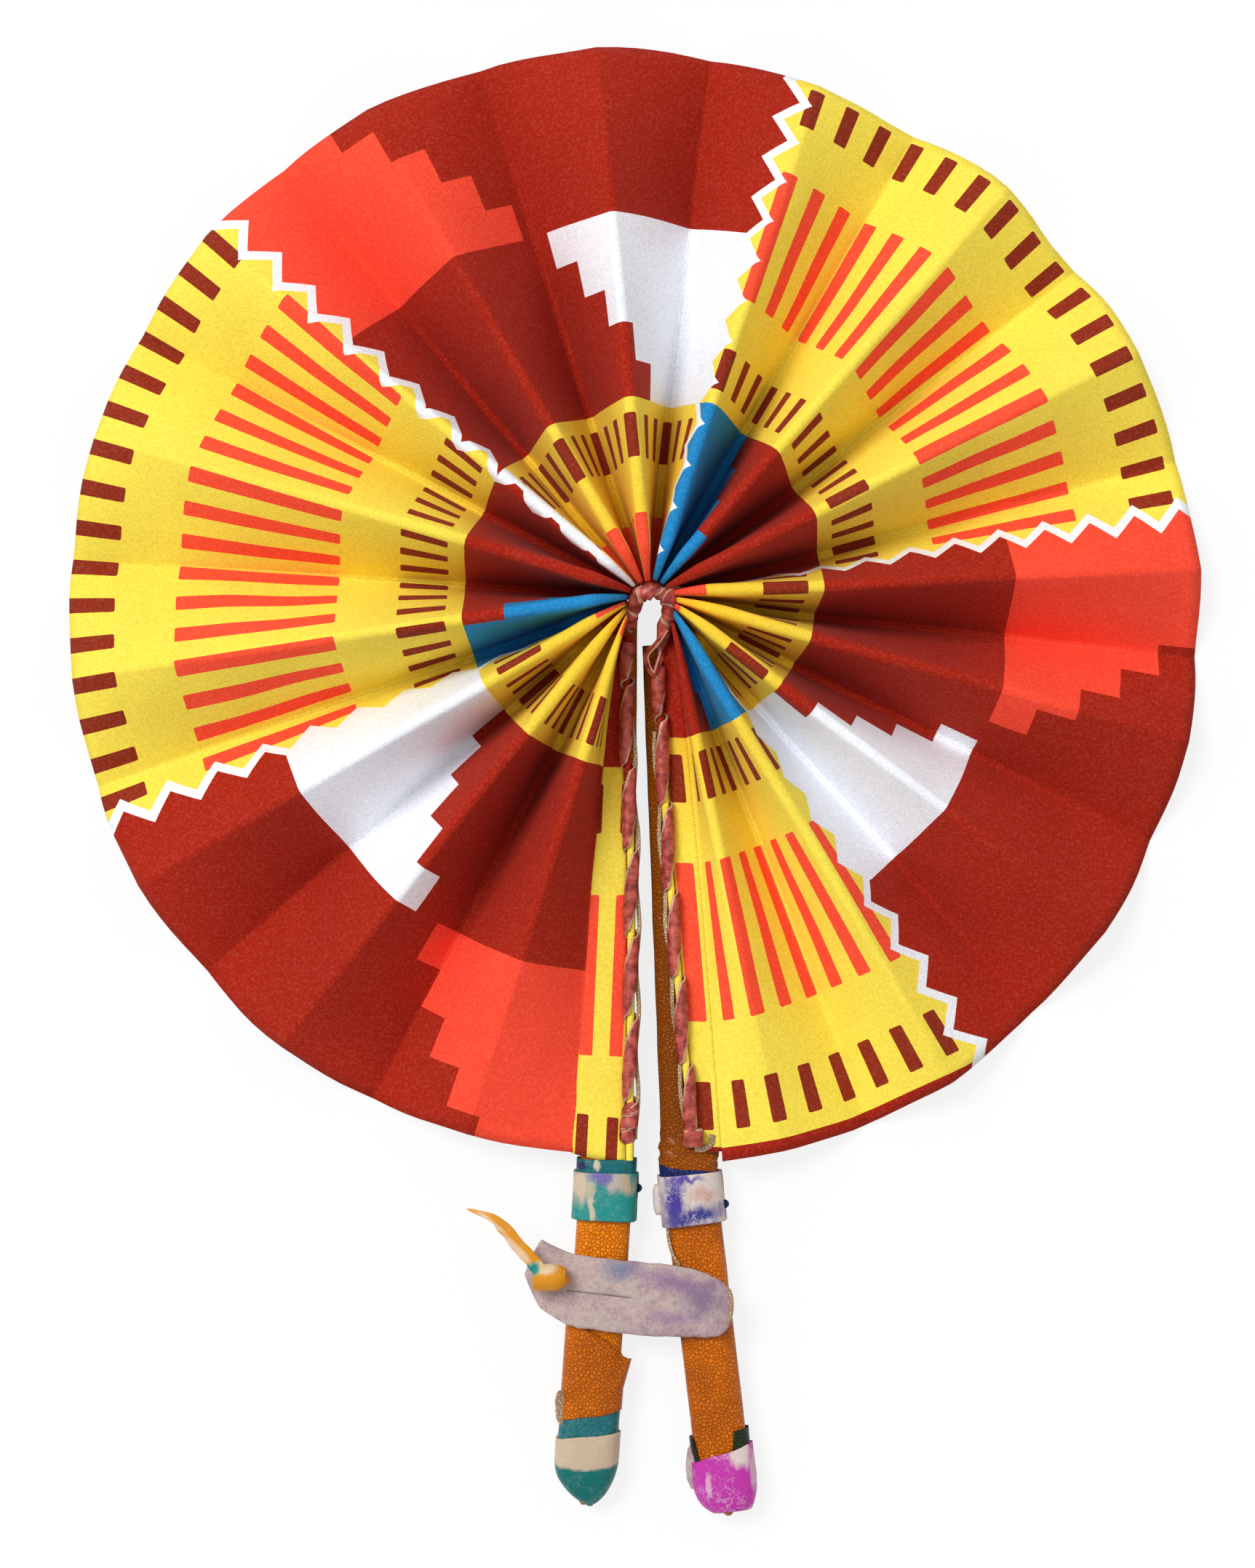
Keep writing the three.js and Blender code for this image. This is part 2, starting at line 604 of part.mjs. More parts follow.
// The leaf's two end panels lie flat on the sticks, from the lacing to the first and the last valley.
function addEndPanel(name, fold, lineX, side) {
  const front = [];
  const back = [];
  const thickness = new THREE.Vector3(0, 0, CLOTH);
  for (const out of steps(END_PANEL.from, END_PANEL.to, 10)) {
    const edge = foldPoint(fold, out);
    const outer = new THREE.Vector2(edge.x - side * END_PANEL.inset, edge.y);
    const innerX = lineX(edge.y) + side * (coilRadius + GAP);
    const rowBack = [0, 0.25, 0.5, 0.75, 1].map((share) => {
      const place = new THREE.Vector2(THREE.MathUtils.lerp(innerX, outer.x, share), edge.y);
      return new THREE.Vector3(place.x, place.y, floorZ(place) - CLOTH / 2);
    });
    back.push(rowBack);
    front.push(rowBack.map((p) => p.clone().add(thickness)));
  }
  addPiece(name, slab(front, back), "print");
}

addEndPanel("left_end_panel", 0, leftLaceX, -1);
addEndPanel("right_end_panel", 2 * pleatCount, rightLaceX, 1);

// Each lace ends in a short tuck below its last turn.
function addTuck(name, lineX, width, length) {
  const top = LACE_FOOT - GAP - 0.2;
  const tuck = new THREE.BoxGeometry(width, length, TUCK_HEIGHT, 2, 2, 1);
  const rounded = tuck.attributes.position;
  for (let i = 0; i < rounded.count; i += 1) {
    const round = Math.abs(rounded.getY(i)) > length * 0.4 ? 0.7 : 1;
    rounded.setX(i, rounded.getX(i) * round);
  }
  tuck.translate(lineX(LACE_FOOT), top - length / 2, sleeveTop + GAP + TUCK_HEIGHT / 2);
  addPiece(name, tuck, "lace");
}

addTuck("left_lace_tuck", leftLaceX, 3, 4.5);
addTuck("right_lace_tuck", rightLaceX, 4.2, 3.6);

// Clasp

const strapZ = sleeveTop + CLEARANCE + WRAP_LEATHER + GAP;
const thongPlace = new THREE.Vector2(middleX(LEFT, THONG_Y) - sleeveWidth / 2 - GAP - THONG_RADIUS, THONG_Y);

function addStrap() {
  const outline = new THREE.Shape(STRAP_OUTLINE.map(([x, y]) => new THREE.Vector2(x, y)));
  const hole = new THREE.Path();
  const eye = THONG_RADIUS + EYELET_CLEARANCE;
  const end = thongPlace.x + BUTTONHOLE_LENGTH;
  const half = BUTTONHOLE_WIDTH / 2;
  const opening = Math.asin(half / eye);
  hole.absarc(thongPlace.x, thongPlace.y, eye, opening, 2 * Math.PI - opening, false);
  hole.lineTo(end, thongPlace.y - half - BUTTONHOLE_FALL);
  hole.lineTo(end, thongPlace.y + half - BUTTONHOLE_FALL);
  outline.holes.push(hole);
  const geometry = new THREE.ExtrudeGeometry(outline, {
    depth: STRAP_SUEDE,
    curveSegments: 6,
    bevelEnabled: false,
  });
  geometry.translate(0, 0, strapZ);
  addPiece("strap", geometry, "suede");
}

addStrap();

// The lip of the slit in the right sleeve that the strap's end passes through
function addSlitLip() {
  const lip = new THREE.CapsuleGeometry(SLIT.lip, SLIT.length, 3, 8);
  lip.translate(SLIT.x, SLIT.y, strapZ + STRAP_SUEDE + GAP + SLIT.lip);
  addPiece("strap_slit_lip", lip, "brownLeather");
}

addSlitLip();

const toggleZ = strapZ + STRAP_SUEDE + GAP + TOGGLE_RADIUS;

function addToggle() {
  const foot = stickZ - 2;
  const top = strapZ + STRAP_SUEDE;
  const thong = new THREE.CylinderGeometry(THONG_RADIUS, THONG_RADIUS, top - foot, 10);
  thong.rotateX(Math.PI / 2);
  thong.translate(thongPlace.x, thongPlace.y, (top + foot) / 2);
  addPiece("toggle_thong", thong, "ochreLeather");

  const half = TOGGLE_LENGTH / 2;
  const roll = new THREE.LatheGeometry([
    new THREE.Vector2(0, -half),
    new THREE.Vector2(TOGGLE_RADIUS * 0.8, -half),
    new THREE.Vector2(TOGGLE_RADIUS, -half + 1),
    new THREE.Vector2(TOGGLE_RADIUS, half - 3),
    new THREE.Vector2(TOGGLE_RADIUS * 0.75, half),
    new THREE.Vector2(0, half),
  ], 14);
  roll.rotateZ(-Math.PI / 2);
  roll.translate(thongPlace.x - half + 1.5, thongPlace.y + 1.2, toggleZ);
  addPiece("toggle_roll", roll, "ochreLeather");
}

addToggle();

// The tail: a narrowing strip from the roll's outer end
function addToggleTail() {
  const rollEnd = thongPlace.x + 1.5 - TOGGLE_LENGTH;
  const start = new THREE.Vector3(rollEnd - 2 * GAP, thongPlace.y + 1.6, toggleZ + 1);
  const route = new THREE.CatmullRomCurve3([
    start,
    start.clone().add(new THREE.Vector3(-3.5, 0.4, 0)),
    start.clone().add(new THREE.Vector3(-7.5, 6.5, -0.5)),
    start.clone().add(new THREE.Vector3(-12, 12, -1)),
    start.clone().add(new THREE.Vector3(-18, 17, -2)),
  ]);
  const front = [];
  const back = [];
  for (const share of steps(0, 1, 8)) {
    const place = route.getPoint(share);
    const along = route.getTangent(share);
    const across = new THREE.Vector3(-along.y, along.x, 0).normalize();
    const half = THREE.MathUtils.lerp(TAIL.width, TAIL.tip, share ** 1.5) / 2;
    const row = [-half, 0, half].map((s) => place.clone().addScaledVector(across, s));
    front.push(row.map((p) => p.clone().setZ(p.z + TAIL.leather / 2)));
    back.push(row.map((p) => p.clone().setZ(p.z - TAIL.leather / 2)));
  }
  addPiece("toggle_tail", slab(front, back), "ochreLeather");
}

addToggleTail();

export default fan;
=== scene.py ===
"""Folding hand fan: a pleated printed cotton leaf, laced to two leather sticks, with a strap and toggle."""

import math

import bmesh
import bpy
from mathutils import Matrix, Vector, noise


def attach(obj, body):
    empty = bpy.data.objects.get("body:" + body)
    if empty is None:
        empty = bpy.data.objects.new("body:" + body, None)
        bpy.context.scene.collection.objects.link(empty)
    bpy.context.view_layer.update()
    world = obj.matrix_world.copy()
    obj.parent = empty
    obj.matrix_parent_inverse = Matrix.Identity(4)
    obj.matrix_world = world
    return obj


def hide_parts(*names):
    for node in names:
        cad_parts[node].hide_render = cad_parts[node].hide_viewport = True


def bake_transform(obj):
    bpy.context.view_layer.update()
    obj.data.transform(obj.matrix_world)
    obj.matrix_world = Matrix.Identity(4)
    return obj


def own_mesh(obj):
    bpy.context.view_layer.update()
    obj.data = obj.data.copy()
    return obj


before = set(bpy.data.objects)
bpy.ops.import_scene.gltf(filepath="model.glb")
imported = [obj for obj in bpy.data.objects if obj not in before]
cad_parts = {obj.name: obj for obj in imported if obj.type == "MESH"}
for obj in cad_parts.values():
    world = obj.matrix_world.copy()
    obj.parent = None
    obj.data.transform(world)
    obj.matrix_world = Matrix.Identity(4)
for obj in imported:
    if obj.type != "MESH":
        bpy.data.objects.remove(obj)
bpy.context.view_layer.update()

# Stage: the fan lies open on a pale table, seen from straight above by a camera a metre away.
MM = 0.001
VIEW_HEIGHT_MM = 431.2
VIEW_MIDDLE_MM = (-1.5, -0.8)
CAMERA_UP_MM = 1000
LEAF_MIDDLE_MM = 12

scene = bpy.context.scene
scene.view_settings.view_transform = "Standard"

camera_data = bpy.data.cameras.new("camera")
camera_data.sensor_fit = "VERTICAL"
camera_data.sensor_height = 24
camera_data.lens = camera_data.sensor_height * CAMERA_UP_MM / VIEW_HEIGHT_MM
camera = bpy.data.objects.new("camera", camera_data)
camera.location = (VIEW_MIDDLE_MM[0] * MM, VIEW_MIDDLE_MM[1] * MM, (CAMERA_UP_MM + LEAF_MIDDLE_MM) * MM)
scene.collection.objects.link(camera)
scene.camera = camera


def colour(hex_code):
    """An sRGB hex value as linear red, green, blue and alpha."""
    shares = [int(hex_code[i : i + 2], 16) / 255 for i in (1, 3, 5)]
    return [*((s / 12.92 if s <= 0.04045 else ((s + 0.055) / 1.055) ** 2.4) for s in shares), 1.0]


def add(tree, kind, *values, out=0, sockets=None, **settings):
    """Adds a node, sets it, links or fills its inputs, and returns one of its outputs, if it has any.

    kind is the kind of node, with its operation after a space where it has one.
    """
    kind, _, operation = kind.partition(" ")
    made = tree.nodes.new("ShaderNode" + kind)
    if operation:
        made.operation = operation
    for name, value in settings.items():
        setattr(made, name, value)
    for key, value in [*enumerate(values), *(sockets or {}).items()]:
        if isinstance(value, bpy.types.NodeSocket):
            tree.links.new(value, made.inputs[key])
        elif value is not None:
            made.inputs[key].default_value = value
    return made.outputs[out] if made.outputs else made


# For a Mix node that mixes colours: its sockets 6 and 7 take the two, and its output 2 gives the mixture.
COLOURS = {"out": 2, "data_type": "RGBA"}


def new_material(name):
    """An empty material, and the node tree to fill."""
    made = bpy.data.materials.new(name)
    made.use_nodes = True
    made.node_tree.nodes.clear()
    return made, made.node_tree


# The world is soft white light from all round, and shows full white to the camera.
world = bpy.data.worlds.new("soft_studio")
scene.world = world
world.use_nodes = True
world.node_tree.nodes.clear()
seen = add(world.node_tree, "LightPath", out="Is Camera Ray")
AMBIENT_STRENGTH = 0.57
strength = add(world.node_tree, "MapRange", seen, 0.0, 1.0, AMBIENT_STRENGTH, 1.0)
backdrop = add(world.node_tree, "Background", colour("#FFFFFF"), strength)
add(world.node_tree, "OutputWorld", backdrop)

# A wide window up and to the left shades the folds.
sun_data = bpy.data.lights.new("window", "SUN")
sun_data.energy = 2.05
sun_data.angle = math.radians(26)
sun = bpy.data.objects.new("window", sun_data)
sun.rotation_euler = (math.radians(-24), math.radians(-28), 0)
scene.collection.objects.link(sun)

floor_mesh = bmesh.new()
bmesh.ops.create_grid(floor_mesh, x_segments=1, y_segments=1, size=3)
floor_data = bpy.data.meshes.new("table_top")
floor_mesh.to_mesh(floor_data)
floor_mesh.free()
floor_top = bpy.data.objects.new("table_top", floor_data)
scene.collection.objects.link(floor_top)
# Matt white paint, rolled on: it takes the fan's soft shadow, and glows enough to stay white round it.
table_paint, tree = new_material("white_table_paint")
painted = add(tree, "BsdfDiffuse", colour("#F7F7F7"))
glowing = add(tree, "Emission", colour("#FFFFFF"), 1.0)
shown = add(tree, "MixShader", 0.82, painted, glowing)
table_look = add(tree, "MixShader", add(tree, "LightPath", out="Is Camera Ray"), painted, shown)
add(tree, "OutputMaterial", table_look)
floor_data.materials.append(table_paint)

# Sticks: two slim wooden laths, each in a sleeve of brown leather. They run straight down the leaf's open
# edges and spread a little along the handle. All sizes are in millimetres from the hub, +Y up the disc and +Z
# out of the front.
HUB = (4.6, 47.6)
SLEEVE_WIDTH = 14.84
SLEEVE_THICKNESS = 8.64
STICK_Z = 6.34
SLEEVE_TOP = STICK_Z + SLEEVE_THICKNESS / 2
SECTION_SQUARENESS = 2.9
LEFT = {"head_x": -10.8, "head_y": -2.0, "foot_y": -247.6, "lean": -0.0067, "bend": -0.068}
RIGHT = {"head_x": 5.4, "head_y": -10.0, "foot_y": -250.6, "lean": 0.0377, "bend": 0.083}
BEND_FROM_Y = -150.0
BEND_EASE = 12.0
POINT_LENGTH = 16.0


def at(x, y, z):
    """A place in metres, from millimetres off the hub and above the table."""
    return Vector(((HUB[0] + x) * MM, (HUB[1] + y) * MM, z * MM))


def middle_x(stick, y):
    """The stick's middle line: straight to the cuff, then bent aside along the handle."""
    past = max(0.0, BEND_FROM_Y - y)
    straight = stick["head_x"] + stick["lean"] * (stick["head_y"] - y)
    return straight + stick["bend"] * past * past / (past + BEND_EASE)


def round_stick(stick, y, turn, grow, share=1.0):
    """A place on the stick's round: turn goes once round from its right side over the front."""
    angle = 2 * math.pi * turn
    reach = [
        math.copysign(abs(part) ** (2 / SECTION_SQUARENESS), part) * (size / 2 + grow) * share
        for part, size in ((math.cos(angle), SLEEVE_WIDTH), (math.sin(angle), SLEEVE_THICKNESS))
    ]
    slope = middle_x(stick, y - 0.5) - middle_x(stick, y + 0.5)
    length = math.hypot(1, slope)
    return middle_x(stick, y) + reach[0] / length, y + reach[0] * slope / length, STICK_Z + reach[1]


def ripple(x, y, z, size):
    """Smooth seeded unevenness from -1 to 1, with bumps about `size` millimetres apart."""
    return noise.noise(Vector((x, y, z)) / size)


def shaped(name, columns, rows, place, mapped=None, closed=False):
    """A sheet cut as a grid and bent: each corner goes to place(across, along), both from 0 to 1."""
    sheet = bmesh.new()
    layer = sheet.loops.layers.uv.new("cut")
    bmesh.ops.create_grid(sheet, x_segments=columns, y_segments=rows, size=0.5)
    shares = {corner: (corner.co.x + 0.5, corner.co.y + 0.5) for corner in sheet.verts}
    for face in sheet.faces:
        face.smooth = True
        for loop in face.loops:
            loop[layer].uv = mapped(*shares[loop.vert]) if mapped else shares[loop.vert]
    for corner, share in shares.items():
        corner.co = at(*place(*share))
    if closed:
        bmesh.ops.remove_doubles(sheet, verts=sheet.verts, dist=1e-7)
        bmesh.ops.recalc_face_normals(sheet, faces=sheet.faces)
    return name, sheet


def finished(made, material, body, slot, *nodes, thickness=0.0, offset=0.0):
    """The piece as an object that rides on a body (if any), in place of the solids that it stands for."""
    name, sheet = made
    data = bpy.data.meshes.new(name)
    sheet.to_mesh(data)
    sheet.free()
    data.materials.append(material)
    piece = bpy.data.objects.new(name, data)
    scene.collection.objects.link(piece)
    if thickness:
        wall = piece.modifiers.new("thickness", "SOLIDIFY")
        wall.thickness = thickness * MM
        wall.offset = offset
    if body:
        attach(piece, body)
    if nodes:
        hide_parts(*nodes)
    return piece


def leather(name, base, deep, grain_mm, roughness, leaf_shade_colour=None):
    """Vegetable dyed sheep or goat leather: pebbled grain, uneven dye, and a waxed, half glossy face.

    The last argument, if given, is a darker brown painted on the stick under the leaf: painted shade from the
    leaf that lies over it.
    """
    made, tree = new_material(name)
    place = add(tree, "TexCoord", out="Object")
    dye = add(tree, "TexNoise", place, sockets={"Scale": 1000 / 14, "Detail": 4.0})
    pebble = add(tree, "TexVoronoi", place, sockets={"Scale": 1000 / grain_mm}, feature="DISTANCE_TO_EDGE")
    crease = add(tree, "MapRange", pebble, 0.0, 0.2, 0.0, 1.0)
    share = add(tree, "MapRange", dye, 0.35, 0.68, 0.0, 1.0)
    dyed = add(tree, "Mix", share, sockets={6: colour(deep), 7: colour(base)}, **COLOURS)
    if leaf_shade_colour:
        # The leaf's rim crosses the stick here, y -98 to -122 mm; above it the stick is painted darker, as
        # painted shade from the leaf.
        up = add(tree, "MapRange", add(tree, "SeparateXYZ", place, out=1), -0.122, -0.098, 0.0, 1.0)
        dyed = add(tree, "Mix", up, sockets={6: dyed, 7: colour(leaf_shade_colour)}, **COLOURS)
    grooved = add(tree, "MapRange", crease, 0.0, 1.0, 0.82, 1.06)
    face = add(tree, "Mix", 1.0, sockets={6: dyed, 7: grooved}, blend_type="MULTIPLY", **COLOURS)
    wax = add(tree, "MapRange", dye, 0.3, 0.7, roughness + 0.1, roughness - 0.06)
    grain = add(tree, "Bump", sockets={"Strength": 0.9, "Distance": 0.0004, "Height": crease})
    surface = add(
        tree, "BsdfPrincipled", face,
        sockets={"Roughness": wax, "Normal": grain, "Specular IOR Level": 0.14, "Coat Weight": 0.18,
                 "Coat Roughness": 0.16},
    )
    add(tree, "OutputMaterial", surface)
    return made


# Planed wood, rubbed with stain: it sinks into the grain and leaves darker streaks along the lath.
stained_wood, tree = new_material("stained_lath_wood")
place = add(tree, "TexCoord", out="Object")
stretched = add(tree, "Mapping", place, sockets={"Scale": (1000 / 1.2, 1000 / 25, 1000 / 1.2)})
figure = add(tree, "TexNoise", stretched, sockets={"Scale": 1.0, "Detail": 3.0})
stain = add(tree, "Mix", figure, sockets={6: colour("#8A4E1C"), 7: colour("#C4802F")}, **COLOURS)
surface = add(tree, "BsdfPrincipled", stain, sockets={"Roughness": 0.5})
add(tree, "OutputMaterial", surface)
for lath in ("left_lath", "right_lath"):
    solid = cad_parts[lath]
    solid.data.materials.clear()
    solid.data.materials.append(stained_wood)

# The brown leathers' pebbles are about 1 mm wide.
brown_leather = {
    "left": leather("orange_brown_leather", "#FF9008", "#EE7E06", 1.0, 0.3),
    # The right sleeve's last colour is painted shade, a darker brown where the leaf lies over it.
    "right": leather("brown_goat_leather", "#E67604", "#C05E02", 1.0, 0.32, "#984C04"),
}


def sleeve(stick, wrinkled):
    """The sleeve hugs its lath. Above the right cuff the spare leather is pushed up in soft wrinkles."""
    foot = stick["foot_y"] + POINT_LENGTH

    def place(across, along):
        y = stick["head_y"] + (foot - stick["head_y"]) * along
        grow = 0.12 * ripple(across * 40, y, 3, 9)
        if wrinkled:
            pushed = math.exp(-(((y + 150.5) / 5) ** 2))
            grow += pushed * (0.7 + 0.4 * math.sin(y * 1.7 + 4 * math.sin(across * 9)))
        return round_stick(stick, y, across, grow)

    return place


for side, stick in (("left", LEFT), ("right", RIGHT)):
    finished(
        shaped(f"{side}_leather_sleeve", 40, 230, sleeve(stick, side == "right"), closed=True),
        brown_leather[side], f"{side}_stick", "brown_leather", f"{side}_sleeve", thickness=0.7, offset=-1,
    )

# Leaf: one strip of printed cotton, folded into sixteen pleats and drawn together at the hub. The folds run
# from a small open eye at the hub to the rim, so the pleats stand high and close at the hub and lie low and
# wide at the rim.
LEAF_RADIUS = 155.0
LEAF_OFF_HUB = Vector((-4.6, 1.0))
RIDGE_ANGLES = [19, 40, 61.5, 83, 107, 130, 150.5, 174.5, 198, 220.5, 242.5, 266, 284, 305.5, 327.5, 346.5]
LEAF_FROM, LEAF_TO = 8.0, 352.5
# For some degrees along the strip, how many millimetres the hand cut rim strays out from its round.
RIM_STRAYS = [
    (0, -3.6), (18, -2.5), (30, 0), (68, 2.2), (82, 1.0), (110, 0.8), (140, 0.3), (162, -0.6), (182, -1.4),
    (200, -3.9), (206, -3.9), (218, -0.6), (227, -2.0), (236, 0), (264, 1.2), (274, 1.6), (283, 2.9),
    (338, 3.1), (347, 0.6), (360, -0.2),
]
EYE_RADIUS, EYE_FROM, EYE_TO = 6.6, 60.0, 305.0
CLOTH = 0.5
CLOTH_PER_DEGREE = 2.87
FOLD_RADIUS = 1.5
LEAST_HEIGHT = 4.0
STICK_MARGIN = 1.4
STICK_FLANK = 5.0
CURVE_COLUMNS, FLAT_COLUMNS = 4, 6
PANEL_COLUMNS = 2 * CURVE_COLUMNS + FLAT_COLUMNS
LEAF_ROWS = 56
PLEATS = len(RIDGE_ANGLES)
# Along the sticks the strip's last folds bow out near the hub: the power of their way to the rim.
BOWED = {0: 0.6, 2 * PLEATS: 0.75}


def down(degrees):
    """The way from the hub at so many degrees clockwise from straight down."""
    angle = math.radians(degrees)
    return Vector((-math.sin(angle), -math.cos(angle)))


def fold_angle(fold):
    """Folds are counted clockwise from the left stick: even ones are valleys, odd ones ridges."""
    if fold % 2:
        return RIDGE_ANGLES[fold // 2]
    if fold == 0:
        return LEAF_FROM
    if fold == 2 * PLEATS:
        return LEAF_TO
    return (RIDGE_ANGLES[fold // 2 - 1] + RIDGE_ANGLES[fold // 2]) / 2


def between(table, degrees):
    """The table's values at so many degrees along the strip, running straight from row to row."""
    for before, after in zip(table, table[1:]):
        if degrees <= after[0]:
            break
    share = min(1.0, max(0.0, (degrees - before[0]) / (after[0] - before[0])))
    return [low + (high - low) * share for low, high in zip(before[1:], after[1:])]


def rim_reach(degrees):
    """How far the leaf's round rim is from the hub, which is a little off its middle."""
    along = down(degrees).dot(LEAF_OFF_HUB)
    return along + math.sqrt(LEAF_RADIUS**2 - LEAF_OFF_HUB.length_squared + along**2)


def fold_point(fold, out):
    """A fold's line from the eye to the rim, with a little of the hand folded cloth's wander."""
    degrees = fold_angle(fold)
    eye = down(EYE_FROM + (EYE_TO - EYE_FROM) * fold / (2 * PLEATS)) * EYE_RADIUS
    rim = down(degrees) * rim_reach(degrees)
    straight = eye.lerp(rim, out)
    if fold in BOWED:
        return Vector((eye.x + (rim.x - eye.x) * out ** BOWED[fold], straight.y))
    aside = Vector((down(degrees).y, -down(degrees).x))
    held = math.sin(math.pi * min(1, out * 1.4))
    return straight + aside * 0.8 * held * ripple(fold * 7.3, out * 60, 5, 30)


def floor_z(x, y):
    """What the cloth lies on: the table, or a stick's front where it crosses one."""
    lift = 0.0
    for stick in (LEFT, RIGHT):
        aside = max(0.0, abs(x - middle_x(stick, y)) - SLEEVE_WIDTH / 2 - STICK_MARGIN)
        above = max(0.0, y - stick["head_y"] - STICK_MARGIN)
        near = 1 - min(1.0, math.hypot(aside, above) / STICK_FLANK)
        lift = max(lift, near * near * (3 - 2 * near))
    return CLOTH / 2 + lift * (SLEEVE_TOP + 0.3)


def panel_point(run, rise, column):
    """A place on a panel, from its valley (0) to its ridge: along, up, share of the cloth, and slope."""
    bend = min(FOLD_RADIUS, 0.48 * run)
    span = math.hypot(run, rise - 2 * bend)
    slope = math.atan2(rise - 2 * bend, run) + math.asin(min(1.0, 2 * bend / span))
    flat = math.sqrt(max(0.0, span**2 - 4 * bend**2))
    whole = 2 * bend * slope + flat
    from_end = min(column, PANEL_COLUMNS - column)
    if from_end <= CURVE_COLUMNS:
        angle = slope * from_end / CURVE_COLUMNS
        along, up, share = bend * math.sin(angle), bend * (1 - math.cos(angle)), bend * angle / whole
        if column <= CURVE_COLUMNS:
            return along, up, share, angle
        return run - along, rise - up, 1 - share, angle
    gone = flat * (column - CURVE_COLUMNS) / FLAT_COLUMNS
    along = bend * math.sin(slope) + gone * math.cos(slope)
    up = bend * (1 - math.cos(slope)) + gone * math.sin(slope)
    return along, up, (bend * slope + gone) / whole, slope


def pleat_cloth(pleat, across, along):
    """The pleat's cloth: its place, and where on the flat strip that is. The lace pinches it at the eye."""
    out = along**1.25
    column = round(across * 2 * PANEL_COLUMNS)
    first = column <= PANEL_COLUMNS
    fold = 2 * pleat if first else 2 * pleat + 2
    ridge = fold_point(2 * pleat + 1, out)
    heights, floors = [], []
    for side in (2 * pleat, 2 * pleat + 2):
        valley = fold_point(side, out)
        width = CLOTH_PER_DEGREE * abs(fold_angle(2 * pleat + 1) - fold_angle(side))
        heights.append(math.sqrt(max(width**2 - (ridge - valley).length_squared, LEAST_HEIGHT**2)))
        floors.append(floor_z(*valley))
    pinched = 0.62 + 0.38 * min(1.0, out / 0.06) ** 0.5
    ridge_z = max(pinched * (CLOTH + sum(heights)) / 2, max(floors) + 1.5)
    valley = fold_point(fold, out)
    low = floors[0 if first else 1]
    run = (ridge - valley).length
    step = (ridge - valley) / run
    at_column = column if first else 2 * PANEL_COLUMNS - column
    forward, up, share, slope = panel_point(run, ridge_z - low, at_column)
    soft = min(1.0, run / 20) * math.sin(math.pi * share)
    bulge = soft * (0.5 + 0.8 * ripple(pleat * 31 + share * 25, out * 150, fold, 22))
    place = valley + step * (forward - math.sin(slope) * bulge)
    z = low + up + math.cos(slope) * bulge
    degrees = fold_angle(fold) + (fold_angle(2 * pleat + 1) - fold_angle(fold)) * share
    # The hand cut rim is round, not straight from fold to fold, and waves a little.
    strays = between(RIM_STRAYS, degrees)[0] + 0.8 * ripple(degrees, 0, 7, 8)
    reach = valley.length + (ridge.length - valley.length) * forward / run + strays
    place *= 1 + (reach / place.length - 1) * out**2
    return (place.x, place.y, max(z, CLOTH / 2)), degrees, out


# The print: a grid of tiles 16 squares wide and 10 high, in two rows along the strip. Tiles of yellow ground
# with red bars and brown dashes alternate with tiles of stepped blocks, and a white zigzag parts them.
TILE_SQUARES = 16
TILE_DEGREES = 63.9
FIRST_TILE_DEGREES = 68.3
TILE_MM = 114.0
SQUARE_MM = TILE_MM / 10
# The UV map spans so many degrees and millimetres of print, from a little before its first edges.
UV_DEGREES, UV_MM = 400.0, 240.0
UV_EARLY_DEGREES, UV_LIFT_MM = 20.0, 80.0
# The rows don't run quite true on the cut strip. For some degrees along it: the millimetres from the rim to
# the line between the rows, the same in the print's own measure, and the print's drift in degrees at the hub.
ROW_LINE = [
    (0, 108, 108.5, 0), (90, 108, 108.5, 0), (130, 105, 109, 2.9), (150, 102.7, 109.7, 0),
    (200, 97, 111.5, 0), (240, 100, 111.5, 0), (262, 102, 113.5, 0), (322, 111, 113.5, 0),
    (328, 112, 117, 0), (360, 116, 118, 0),
]


def on_print(degrees, from_rim):
    """Print coordinates: degrees along the strip, and millimetres out from the line between the two rows."""
    drawn, printed, drift = between(ROW_LINE, degrees)
    outward = printed * (1 - from_rim / drawn)
    drifted = degrees + drift * from_rim / LEAF_RADIUS
    return (drifted + UV_EARLY_DEGREES) / UV_DEGREES, (outward + UV_LIFT_MM) / UV_MM


# Plain woven cotton, stiffened and printed with flat dyes: matt, strong colours with sharp edges.
printed_cotton, tree = new_material("printed_cotton")
strip = add(tree, "SeparateXYZ", add(tree, "UVMap", uv_map="cut"))
first_tile = -UV_EARLY_DEGREES - FIRST_TILE_DEGREES
degrees = add(tree, "Math MULTIPLY_ADD", strip, UV_DEGREES, first_tile)
outward = add(tree, "Math MULTIPLY_ADD", strip.node.outputs[1], UV_MM, -UV_LIFT_MM)
squares = add(tree, "Math MULTIPLY", degrees, TILE_SQUARES / TILE_DEGREES)
# Tiles part along a zigzag that swings 3.5 mm to each side every 13.8 mm.
ZIGZAG_MM, SWING_MM = 13.8, 3.5
swung = add(tree, "Math PINGPONG", outward, ZIGZAG_MM / 2)
swing = add(tree, "Math MULTIPLY_ADD", swung, 4 * SWING_MM / ZIGZAG_MM, -SWING_MM)
unbent = add(tree, "Math MULTIPLY_ADD", swing, -1 / SQUARE_MM, squares)
tile = add(tree, "Math FLOOR", add(tree, "Math DIVIDE", unbent, TILE_SQUARES))
column = add(tree, "Math MULTIPLY_ADD", tile, -TILE_SQUARES, squares)
inner_row = add(tree, "Math LESS_THAN", outward, 0.0)
height = add(tree, "Math FLOORED_MODULO", outward, TILE_MM)
row = add(tree, "Math FLOOR", add(tree, "Math DIVIDE", outward, TILE_MM))
stepped = add(tree, "Math FLOORED_MODULO", add(tree, "Math", tile, row), 2.0)

